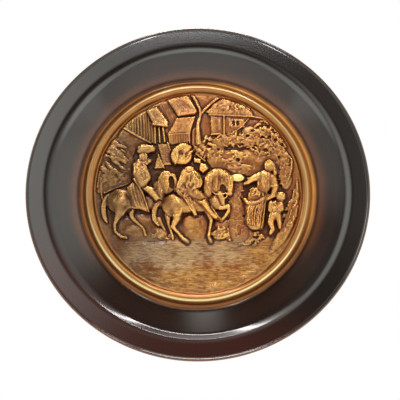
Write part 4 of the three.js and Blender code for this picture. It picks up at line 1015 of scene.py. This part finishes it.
class Shader(Tree):
    """The node tree of a material or of the world, emptied and made anew."""

    def __init__(self, owner):
        self.owner = owner
        owner.use_nodes = True
        owner.node_tree.nodes.clear()
        super().__init__(owner.node_tree)

    def fade(self, value, low, high, start=0.0, end=1.0):
        """Goes smoothly from start to end as the value goes from low to high."""
        return self.add("ShaderNodeMapRange", {"interpolation_type": "SMOOTHSTEP"},
                        {"Value": value, "From Min": low, "From Max": high, "To Min": start,
                         "To Max": end})

    def blend(self, share, first, second):
        """The first colour, and the second where the share is one."""
        first, second = (c if isinstance(c, Value) else (*c, 1) for c in (first, second))
        return self.add("ShaderNodeMix", {"data_type": "RGBA"}, {0: share, 6: first, 7: second}, 2)

    def noise(self, place, scale, detail=3.0, roughness=0.55):
        """Noise about zero."""
        return self.add("ShaderNodeTexNoise", {}, {"Vector": place, "Scale": scale, "Detail": detail,
                                                   "Roughness": roughness}) - 0.5

    def attribute(self, name):
        return self.add("ShaderNodeAttribute", {"attribute_name": name}, {}, "Fac")

    def place(self):
        return self.add("ShaderNodeTexCoord", {}, {}, "Object")

    def part_of(self, vector, axis):
        return self.add("ShaderNodeSeparateXYZ", {}, {"Vector": vector}, axis)

    def distance(self, x, y):
        """How far a place is from the middle."""
        flat = self.add("ShaderNodeCombineXYZ", {}, {"X": x, "Y": y})
        return self.add("ShaderNodeVectorMath", {"operation": "LENGTH"}, {0: flat}, 1)

    def bump(self, strength, distance, height):
        return self.add("ShaderNodeBump", {}, {"Strength": strength, "Distance": distance * MM,
                                               "Height": height})

    def surface(self, sockets):
        """Ends a material in one metal or paint, and gives the material."""
        shader = self.add("ShaderNodeBsdfPrincipled", {}, sockets)
        self.add("ShaderNodeOutputMaterial", {}, {"Surface": shader})
        return self.owner


def new_shader(name):
    return Shader(bpy.data.materials.new(name))


def rgb(red, green, blue):
    """A colour in the shader's own scale from one read off a screen, 0 to 255."""
    def linear(c):
        c = c / 255
        return c / 12.92 if c <= 0.04045 else ((c + 0.055) / 1.055) ** 2.4
    return linear(red), linear(green), linear(blue)


# The relief's tones, from its hollows to what is rubbed, and the tray's painted highlight
DEEP_BROWN = rgb(62, 32, 18)
DARK_BROWN = rgb(88, 54, 28)
BROWN = rgb(194, 144, 86)
ORANGE_BROWN = rgb(140, 80, 40)
GOLD = rgb(255, 194, 106)
RED_BROWN = rgb(140, 66, 34)
FLUSHED = rgb(240, 142, 84)
ROSE = rgb(252, 178, 118)
BAND_GREY = rgb(168, 146, 116)
TRAY_HIGHLIGHT_GOLD = rgb(255, 226, 140)

# The bead with its painted highlights and shade, the rim and the back
BEAD_BROWN = rgb(164, 108, 56)
BEAD_COPPER = rgb(186, 130, 72)
BEAD_SHADE = rgb(166, 104, 54)
FLANK_HIGHLIGHT_ORANGE = rgb(236, 160, 80)
CREST_HIGHLIGHT_GOLD = rgb(255, 236, 172)
RIM_BROWN = rgb(30, 19, 13)
RIM_RED = rgb(62, 28, 20)
SLOPE_BROWN = rgb(42, 24, 16)
SLOPE_WARM = rgb(104, 58, 30)
BACK_DARK = rgb(92, 56, 38)
BACK_LIGHT = rgb(140, 90, 60)
COPPER_DARK = rgb(140, 84, 58)
COPPER_LIGHT = rgb(196, 126, 88)
TIN_DARK = rgb(128, 126, 122)
TIN_LIGHT = rgb(176, 172, 164)

# Where the finish changes, as radii in millimetres
BEAD_CREST = PICTURE_RADIUS + BEAD_WIDTH / 2
BEAD_FLANK = (BEAD_CREST + 0.8, BEAD_CREST + 3.8)
RELIEF_EDGES = (PICTURE_RADIUS + 0.5, PICTURE_RADIUS - 2.5)
COAT_EDGES = (97, 103)
LACQUER_EDGES = (102, 105)
SLOPE_START = (101, 105)
SLOPE_END = (SLOPE_OUTER + 1, SLOPE_OUTER - 2)
SLOPE_WARMTH = (113, 101)
RIM_REDNESS = (116, 132)
LIP_WEAR = (143.6, 144.8)

RELIEF_ROUGHNESS = 0.34
BEAD_ROUGHNESS = 0.36
COAT_ROUGHNESS = 0.4
BACK_ROUGHNESS = 0.5
LACQUER_ROUGHNESS = 0.1
LACQUER_INDEX = 1.8
THIN_LACQUER = 0.25              # what there is of the lacquer on the relief, the bead and the back
STREAK_SCALE = (190, 190, 800)
STREAK_TILT = math.radians(-6)
ROLLING_SCALE = (1600, 200, 90)


def antique_copper():
    """Copper that was darkened all over and rubbed bright on the relief and the bead, under lacquer, with
    painted highlights and painted shade in places.
    """
    metal = new_shader("antique_copper")
    place = metal.place()
    middle = metal.add("ShaderNodeMapping", {}, {"Vector": place,
                                                 "Location": (0, 0, HANGING_RADIUS * MM)})
    right, up = metal.part_of(middle, 0), metal.part_of(middle, 2)
    radius = metal.distance(right, up) * (1 / MM)
    x, z = right * (1 / PICTURE_RADIUS / MM), up * (1 / PICTURE_RADIUS / MM)
    fine, broad, front = (metal.attribute(name) for name in ("fine_relief", "broad_relief", "front_side"))
    cloud = metal.noise(place, 60, 4)
    grain = metal.noise(place, 620, 4, 0.65)
    streak = metal.noise(metal.add("ShaderNodeMapping", {}, {
        "Vector": place, "Scale": STREAK_SCALE, "Rotation": (0, STREAK_TILT, 0)}), 1, 3)
    across = x + 0.4 * cloud

    # the relief: dark where it is deep, rubbed where it is high, and browner to the left
    inside = metal.fade(radius, *RELIEF_EDGES)
    rubbed = metal.fade(0.9 * fine + 0.5 * broad + 0.9 * cloud + 0.8 * grain, -0.5, 1.6)
    deep = 0.85 * metal.fade(1.3 * fine + 0.6 * broad + 0.3 * grain, -0.3, -1.7) * inside
    side = metal.fade(x + 0.5 * cloud, -0.85, 0.1)
    warm_metal = metal.blend(rubbed, ORANGE_BROWN, GOLD)
    colour = metal.blend(side, metal.blend(rubbed, DARK_BROWN, BROWN), warm_metal)
    sky = metal.fade(z + 0.3 * cloud, 0.5, 0.8) * metal.fade(across, -0.6, -0.25) * inside
    colour = metal.blend(0.5 * sky, colour, metal.blend(rubbed, ORANGE_BROWN, ROSE))
    flush = metal.fade(metal.noise(place, 130, 4), 0.0, 0.16) * metal.fade(across, -0.5, 0.2)
    colour = metal.blend(0.5 * flush, colour, metal.blend(rubbed, RED_BROWN, FLUSHED))
    # painted shade: the relief is darkened towards its right edge
    colour = metal.blend(0.4 * metal.fade(across, 0.45, 0.95), colour, ORANGE_BROWN)
    # the road: gold on its ridges, darker in its furrows and to the left, greyer in a band low down
    ground = metal.fade(z + 0.12 * streak + 0.16 * cloud, -0.42, -0.54) * inside
    ridge = metal.fade(streak + 0.8 * cloud, -0.25, 0.25)
    colour = metal.blend(0.5 * ground * ridge * side, colour, GOLD)
    furrow = metal.fade(streak + 0.6 * grain + 0.5 * cloud, 0.1, -0.3)
    colour = metal.blend(0.75 * ground * furrow, colour, ORANGE_BROWN)
    colour = metal.blend(ground * metal.fade(across, -0.1, -0.8, 0.3, 0.75), colour, DARK_BROWN)
    band = metal.fade(z + 0.5 * cloud + 0.2 * streak, -0.8, -0.66)
    band = band * metal.fade(x + 0.8 * cloud, 0.6, 0.25) * metal.fade(x + 0.5 * cloud, -0.85, -0.45)
    grey_band = ground * band * metal.fade(streak + 0.5 * cloud, -0.3, 0.1)
    colour = metal.blend(0.6 * grey_band, colour, BAND_GREY)
    # painted highlight: the tray's oval is painted pale gold, as a lamp's bright reflection on it
    tray_highlight = metal.fade(metal.distance((x - TRAY_PLACE[0] / 100) * (100 / TRAY_SIZE[0]),
                                     (z - TRAY_PLACE[1] / 100) * (100 / TRAY_SIZE[1])), 1.02, 0.85)
    colour = metal.blend(tray_highlight, colour, TRAY_HIGHLIGHT_GOLD)
    colour = metal.blend(deep, colour, DEEP_BROWN)
    # the bead is rubbed copper of varying tone; its outer flank has painted shade with a painted highlight
    # towards the upper right, and a painted highlight runs along its crest, brightest towards the bottom
    bead = metal.blend(metal.fade(cloud, -0.3, 0.3), BEAD_BROWN, BEAD_COPPER)
    # painted highlight: orange on the bead's outer flank towards the upper right
    flank_highlight = metal.fade(0.87 * x + 0.5 * z + 0.2 * cloud, 0.5, 0.95)
    flank = metal.fade(radius + cloud, *BEAD_FLANK)
    bead = metal.blend(flank, bead, metal.blend(flank_highlight, BEAD_SHADE, FLANK_HIGHLIGHT_ORANGE))
    # painted highlight: a pale line along the bead's crest, strongest towards the bottom
    line = radius + 0.5 * (x + z) + 0.5 * cloud - BEAD_CREST - 0.6
    crest_highlight = metal.fade(line, -1.2, -0.2) * metal.fade(line, 1.2, 0.2)
    crest_highlight = crest_highlight * metal.fade(z + 0.2 * x, 0.1, -0.9, 0.3, 1)
    bead = metal.blend(crest_highlight, bead, CREST_HIGHLIGHT_GOLD)
    colour = metal.blend(inside, bead, colour)
    # the rim keeps its dark coat, and the lip is worn through to the copper
    coat = metal.fade(radius + 2 * cloud, *COAT_EDGES)
    low = metal.fade(z + 0.35 * x + 0.3 * cloud, -0.6, -1.4)
    rim = metal.blend(low * metal.fade(radius, *RIM_REDNESS), RIM_BROWN, RIM_RED)
    slope = metal.fade(radius, *SLOPE_START) * metal.fade(radius, *SLOPE_END)
    # the slope is warmer towards the bead, and is kept dark towards the bottom as painted shade
    warmth_and_shade = metal.fade(radius + 3 * cloud, *SLOPE_WARMTH) * metal.fade(z + 0.3 * cloud, -0.85, -0.35)
    rim = metal.blend(slope, rim, metal.blend(warmth_and_shade, SLOPE_BROWN, SLOPE_WARM))
    colour = metal.blend(coat, colour, rim)
    lip = metal.fade(radius + 0.8 * cloud, *LIP_WEAR)
    colour = metal.blend(0.8 * lip, colour, BEAD_BROWN)
    # behind, the metal is left dull
    back = metal.blend(metal.fade(cloud, -0.25, 0.25), BACK_DARK, BACK_LIGHT)
    colour = metal.blend(front, back, colour)
    shine = (1 - coat) + 0.6 * lip - 0.7 * deep + (1 - front)
    rough = RELIEF_ROUGHNESS - 0.14 * rubbed + 0.25 * deep + 0.15 * grain
    rough = rough * inside + (BEAD_ROUGHNESS - 0.1 * crest_highlight + 0.2 * flank) * (1 - inside)
    rough = rough * (1 - coat) + coat * COAT_ROUGHNESS
    rough = rough * front + (BACK_ROUGHNESS + 0.2 * cloud) * (1 - front)
    lacquer = THIN_LACQUER + (1 - THIN_LACQUER) * metal.fade(radius, *LACQUER_EDGES) * front
    return metal.surface({
        "Base Color": colour, "Metallic": metal.fade(shine, 0, 1), "Roughness": rough,
        "Coat Weight": lacquer, "Coat Roughness": LACQUER_ROUGHNESS, "Coat IOR": LACQUER_INDEX,
        "Specular IOR Level": 0.0,
        "Normal": metal.bump(0.7, 0.5, front * inside * (grain + 2.5 * ground * streak))})


def plain_copper():
    """Rolled copper left dull, with fine rolling lines."""
    metal = new_shader("plain_copper")
    place = metal.place()
    lines = metal.add("ShaderNodeMapping", {}, {"Vector": place, "Scale": ROLLING_SCALE})
    rolled = metal.noise(lines, 1, 2)
    cloud = metal.noise(place, 180, 3)
    colour = metal.blend(metal.fade(cloud + 0.4 * rolled, -0.25, 0.25), COPPER_DARK, COPPER_LIGHT)
    return metal.surface({"Base Color": colour, "Metallic": 1.0, "Roughness": 0.42 + 0.2 * rolled,
                          "Normal": metal.bump(0.3, 0.1, rolled)})


def solder():
    """Tin solder run along the joint, with a drawn skin."""
    metal = new_shader("tin_solder")
    cloud = metal.noise(metal.place(), 700, 3)
    colour = metal.blend(metal.fade(cloud, -0.2, 0.2), TIN_DARK, TIN_LIGHT)
    return metal.surface({"Base Color": colour, "Metallic": 1.0, "Roughness": 0.4 + 0.3 * cloud,
                          "Normal": metal.bump(0.4, 0.2, cloud)})


def foot_radius():
    """Where the tab's inner end stops short of the back of the slope."""
    slope = math.atan2(SLOPE_RISE, SLOPE_WIDTH)
    return SEAT_OUTER + (SHEET + SOLDER_GAP + (TAB_SHEET - SHEET) * math.cos(slope)) / math.sin(slope)


def make_tab():
    """The flat tab, its outer end round, its foot hollowed to the slope, its edges eased."""
    foot, half = foot_radius(), TAB_WIDTH / 2
    spread = math.asin(half / foot)
    outline = []
    for i in range(FOOT_STEPS + 1):
        angle = math.pi / 2 + spread * (1 - 2 * i / FOOT_STEPS)
        outline.append((foot * math.cos(angle), foot * math.sin(angle) - HANGING_RADIUS))
    for i in range(END_STEPS + 1):
        angle = math.pi * i / END_STEPS
        outline.append((half * math.cos(angle), half * math.sin(angle)))
    hole = []
    for i in range(HOLE_STEPS):
        angle = 2 * math.pi * i / HOLE_STEPS
        hole.append((TAB_HOLE_RADIUS * math.cos(angle), -TAB_HOLE_RADIUS * math.sin(angle)))
    flat = bpy.data.curves.new("tab_outline", "CURVE")
    flat.dimensions = "2D"
    flat.fill_mode = "BOTH"
    flat.extrude = TAB_SHEET / 2 - TAB_BEVEL
    flat.bevel_depth = TAB_BEVEL
    flat.bevel_resolution = 2
    flat.offset = -TAB_BEVEL
    for ring in (outline, hole):
        spline = flat.splines.new("POLY")
        spline.points.add(len(ring) - 1)
        for point, (x, z) in zip(spline.points, ring):
            point.co = (x, z, 0, 1)
        spline.use_cyclic_u = True
    shape = add_object("tab_outline", flat)
    mesh = evaluated_mesh(shape)
    bpy.data.objects.remove(shape)
    work = bmesh.new()
    work.from_mesh(mesh)
    bmesh.ops.remove_doubles(work, verts=work.verts, dist=1e-4)
    for vertex in work.verts:
        x, z, out = vertex.co
        vertex.co = (x * MM, -(TAB_SHEET / 2 + out) * MM, z * MM)
    bmesh.ops.recalc_face_normals(work, faces=work.faces)
    work.to_mesh(mesh)
    work.free()
    return add_object("tab", mesh)


def make_solder():
    """A run of solder along the tab's foot: a bead whose thickness wanders, on the arc of the joint."""
    arc = bpy.data.curves.new("joint", "CURVE")
    arc.dimensions = "3D"
    foot = foot_radius()
    spread = SOLDER_SPREAD * math.asin(TAB_WIDTH / 2 / foot)
    spline = arc.splines.new("POLY")
    spline.points.add(SOLDER_POINTS - 1)
    radius = foot - SOLDER_OVERLAP
    for i, point in enumerate(spline.points):
        angle = math.pi / 2 + spread * (1 - 2 * i / (SOLDER_POINTS - 1))
        point.co = (radius * math.cos(angle) * MM, -(TAB_SHEET + SOLDER_OVERLAP) * MM,
                    (radius * math.sin(angle) - HANGING_RADIUS) * MM, 1)
    joint = add_object("joint", arc)

    tree = bpy.data.node_groups.new("solder_run", "GeometryNodeTree")
    tree.interface.new_socket("Geometry", in_out="OUTPUT", socket_type="NodeSocketGeometry")
    tree.interface.new_socket("Geometry", in_out="INPUT", socket_type="NodeSocketGeometry")
    sizes = {}
    for name, kind in (("Radius", "NodeSocketFloat"), ("Sides", "NodeSocketInt"),
                       ("Wander", "NodeSocketFloat"), ("Seed", "NodeSocketInt"),
                       ("Material", "NodeSocketMaterial")):
        sizes[name] = tree.interface.new_socket(name, in_out="INPUT", socket_type=kind).identifier
    steps = Tree(tree)
    inputs = tree.nodes.new("NodeGroupInput").outputs
    given = {name: Value(steps, inputs[name]) for name in ("Geometry", *sizes)}
    chance = steps.add("FunctionNodeRandomValue", {}, {2: 1 - given["Wander"], 3: 1,
                                                       "Seed": given["Seed"]}, 1)
    smooth = steps.add("GeometryNodeBlurAttribute", {"data_type": "FLOAT"}, {0: chance, "Iterations": 3})
    thick = steps.add("GeometryNodeSetCurveRadius", {}, {"Curve": given["Geometry"], "Radius": smooth})
    section = steps.add("GeometryNodeCurvePrimitiveCircle", {}, {"Radius": given["Radius"],
                                                                 "Resolution": given["Sides"]})
    sweep = steps.add("GeometryNodeCurveToMesh", {}, {"Curve": thick, "Profile Curve": section,
                                                      "Fill Caps": True})
    realized = steps.add("GeometryNodeRealizeInstances", {}, {0: sweep})
    dressed = steps.add("GeometryNodeSetMaterial", {}, {"Geometry": realized,
                                                        "Material": given["Material"]})
    steps.add("NodeGroupOutput", {}, {0: dressed})
    run = joint.modifiers.new("solder_run", "NODES")
    run.node_group = tree
    for name, value in (("Radius", SOLDER_RADIUS * MM), ("Sides", SOLDER_SIDES), ("Wander", SOLDER_WANDER),
                        ("Seed", SOLDER_SEED), ("Material", solder())):
        run[sizes[name]] = value
    mesh = evaluated_mesh(joint)
    joint.modifiers.remove(run)
    bpy.data.objects.remove(joint)
    mesh.shade_smooth()
    return add_object("solder", mesh)


# The camera and what the lacquer mirrors, in metres and degrees from here on
CAMERA_DISTANCE = 0.850
CAMERA_ELEVATION = -14.2
CAMERA_LENS = 89.55
CAMERA_SENSOR = 36
AIM = (0.0018, 0, -0.0070)      # from the plate's centre to what the middle of the view looks at

# Soft glows of the room, each with its azimuth to the right, elevation, reach and strength
GLOWS = [(-16, 17, 17, 1.5), (44, 14, 38, 0.9), (0, -14, 17, 1.8), (-26, -10, 18, 1.4),
         (26, -10, 18, 1.4), (-48, 0, 28, 0.4), (-6, 40, 14, 1.6), (-80, 30, 18, 5.0), (-10, 76, 14, 14.0)]
ROOM_LIGHT = 0.18
ROOM_TINT = (0.97, 1, 0.95, 1)
DIM_PATCH = (4, 3, 7, 12)        # opposite the plate: azimuth, elevation, and the reach of its
DIM_PATCH_LIGHT = 0.5            # dark and of its edge; and what it leaves of the room's light
CEILING_HEIGHTS = (0.6, 0.85)    # the sines of the elevations between which the room darkens
CEILING_LIGHT = 0.3
STRIPS_PLACE = (0.06, -1.17, -2.55, 1.2)    # sideways, near and far end, height
STRIPS_HALF = 0.32
STRIPS_WIDTH = 0.07
STRIPS_POWER = 60                           # watts for each square metre, here and below
FLOOR_LAMP_SIZE = (0.8, 0.8)
FLOOR_LAMP_POWER = 45
FLOOR_LAMP_PLACE = (0, 0.1, 1.6)
FLOOR_HALF = (4.0, 1.8)
FLOOR_LEVEL = -0.75
FLOOR_PAINT = (0.8, 0.79, 0.77, 1)


def set_camera():
    data = bpy.data.cameras.new("camera")
    data.lens = CAMERA_LENS
    data.sensor_width = CAMERA_SENSOR
    data.clip_start = 0.01
    camera = add_object("camera", data)
    aim = Vector((0, 0, -HANGING_RADIUS * MM)) + Vector(AIM)
    camera.location = aim + CAMERA_DISTANCE * heading(0, CAMERA_ELEVATION)
    camera.rotation_euler = (aim - camera.location).to_track_quat("-Z", "Y").to_euler()
    bpy.context.scene.camera = camera


def heading(azimuth, elevation):
    """The direction out of the plate's front, azimuth to the right and elevation upwards."""
    a, e = math.radians(azimuth), math.radians(elevation)
    return Vector((math.sin(a) * math.cos(e), -math.cos(a) * math.cos(e), math.sin(e)))


def add_lamp(name, size, power, place):
    """A soft flat lamp that shines straight down."""
    data = bpy.data.lights.new(name, "AREA")
    data.shape = "RECTANGLE"
    data.size, data.size_y = size
    data.energy = power * size[0] * size[1]
    add_object(name, data).location = place


def set_lamps():
    """A frame of four strips under the ceiling, in front of the plate, and a lamp over the floor."""
    x, near, far, height = STRIPS_PLACE
    for y in (near, far):
        add_lamp("strip_across", (2 * STRIPS_HALF, STRIPS_WIDTH), STRIPS_POWER, (x, y, height))
    for side in (-STRIPS_HALF, STRIPS_HALF):
        add_lamp("strip_along", (STRIPS_WIDTH, near - far), STRIPS_POWER,
                 (x + side, (near + far) / 2, height))
    add_lamp("floor_lamp", FLOOR_LAMP_SIZE, FLOOR_LAMP_POWER, FLOOR_LAMP_PLACE)


def set_surroundings():
    """White behind the plate, and a dim room with a few soft glows for its lacquer to mirror."""
    room = Shader(bpy.data.worlds.new("studio"))
    way = room.add("ShaderNodeTexCoord", {}, {}, "Generated")

    def round_spot(azimuth, elevation, inner, outer, away, there):
        toward = room.add("ShaderNodeVectorMath", {"operation": "DOT_PRODUCT"},
                          {0: way, 1: heading(azimuth, elevation)}, "Value")
        edges = (math.cos(math.radians(reach)) for reach in (outer, inner))
        return room.fade(toward, *edges, away, there)

    light = ROOM_LIGHT
    for azimuth, elevation, reach, strength in GLOWS:
        light = light + round_spot(azimuth, elevation, 0, reach, 0, strength)
    light = light * round_spot(*DIM_PATCH, 1, DIM_PATCH_LIGHT)
    light = light * room.fade(room.part_of(way, 2), *CEILING_HEIGHTS, 1, CEILING_LIGHT)
    mirrored = room.add("ShaderNodeBackground", {}, {"Color": ROOM_TINT, "Strength": light})
    seen = room.add("ShaderNodeBackground", {}, {"Color": (1, 1, 1, 1)})
    ray = room.add("ShaderNodeLightPath", {}, {}, "Is Camera Ray")
    both = room.add("ShaderNodeMixShader", {}, {0: ray, 1: mirrored, 2: seen})
    room.add("ShaderNodeOutputWorld", {}, {"Surface": both})
    bpy.context.scene.world = room.owner
    bpy.context.scene.view_settings.view_transform = "Standard"


def make_floor():
    """A pale floor well below the plate, which the lacquer mirrors."""
    mesh = bpy.data.meshes.new("floor")
    wide, deep = FLOOR_HALF
    corners = [(-wide, -deep), (wide, -deep), (wide, deep), (-wide, deep)]
    mesh.from_pydata([(x, y, FLOOR_LEVEL) for x, y in corners], [], [(0, 1, 2, 3)])
    mesh.materials.append(new_shader("pale_floor").surface({"Base Color": FLOOR_PAINT, "Roughness": 0.8}))
    add_object("floor", mesh)


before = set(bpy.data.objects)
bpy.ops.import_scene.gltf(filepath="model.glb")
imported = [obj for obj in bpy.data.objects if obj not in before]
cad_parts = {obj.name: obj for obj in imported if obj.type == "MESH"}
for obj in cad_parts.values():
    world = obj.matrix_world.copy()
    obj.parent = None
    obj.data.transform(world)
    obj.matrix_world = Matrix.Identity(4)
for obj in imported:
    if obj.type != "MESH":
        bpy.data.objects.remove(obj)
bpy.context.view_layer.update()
set_camera()
plate = make_plate(draw_picture())
plate.data.materials.append(antique_copper())
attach(plate, "root")
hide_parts("plaque")
tab = make_tab()
tab.data.materials.append(plain_copper())
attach(tab, "root")
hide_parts("hanging_tab")
run = make_solder()
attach(run, "root")
set_lamps()
set_surroundings()
make_floor()
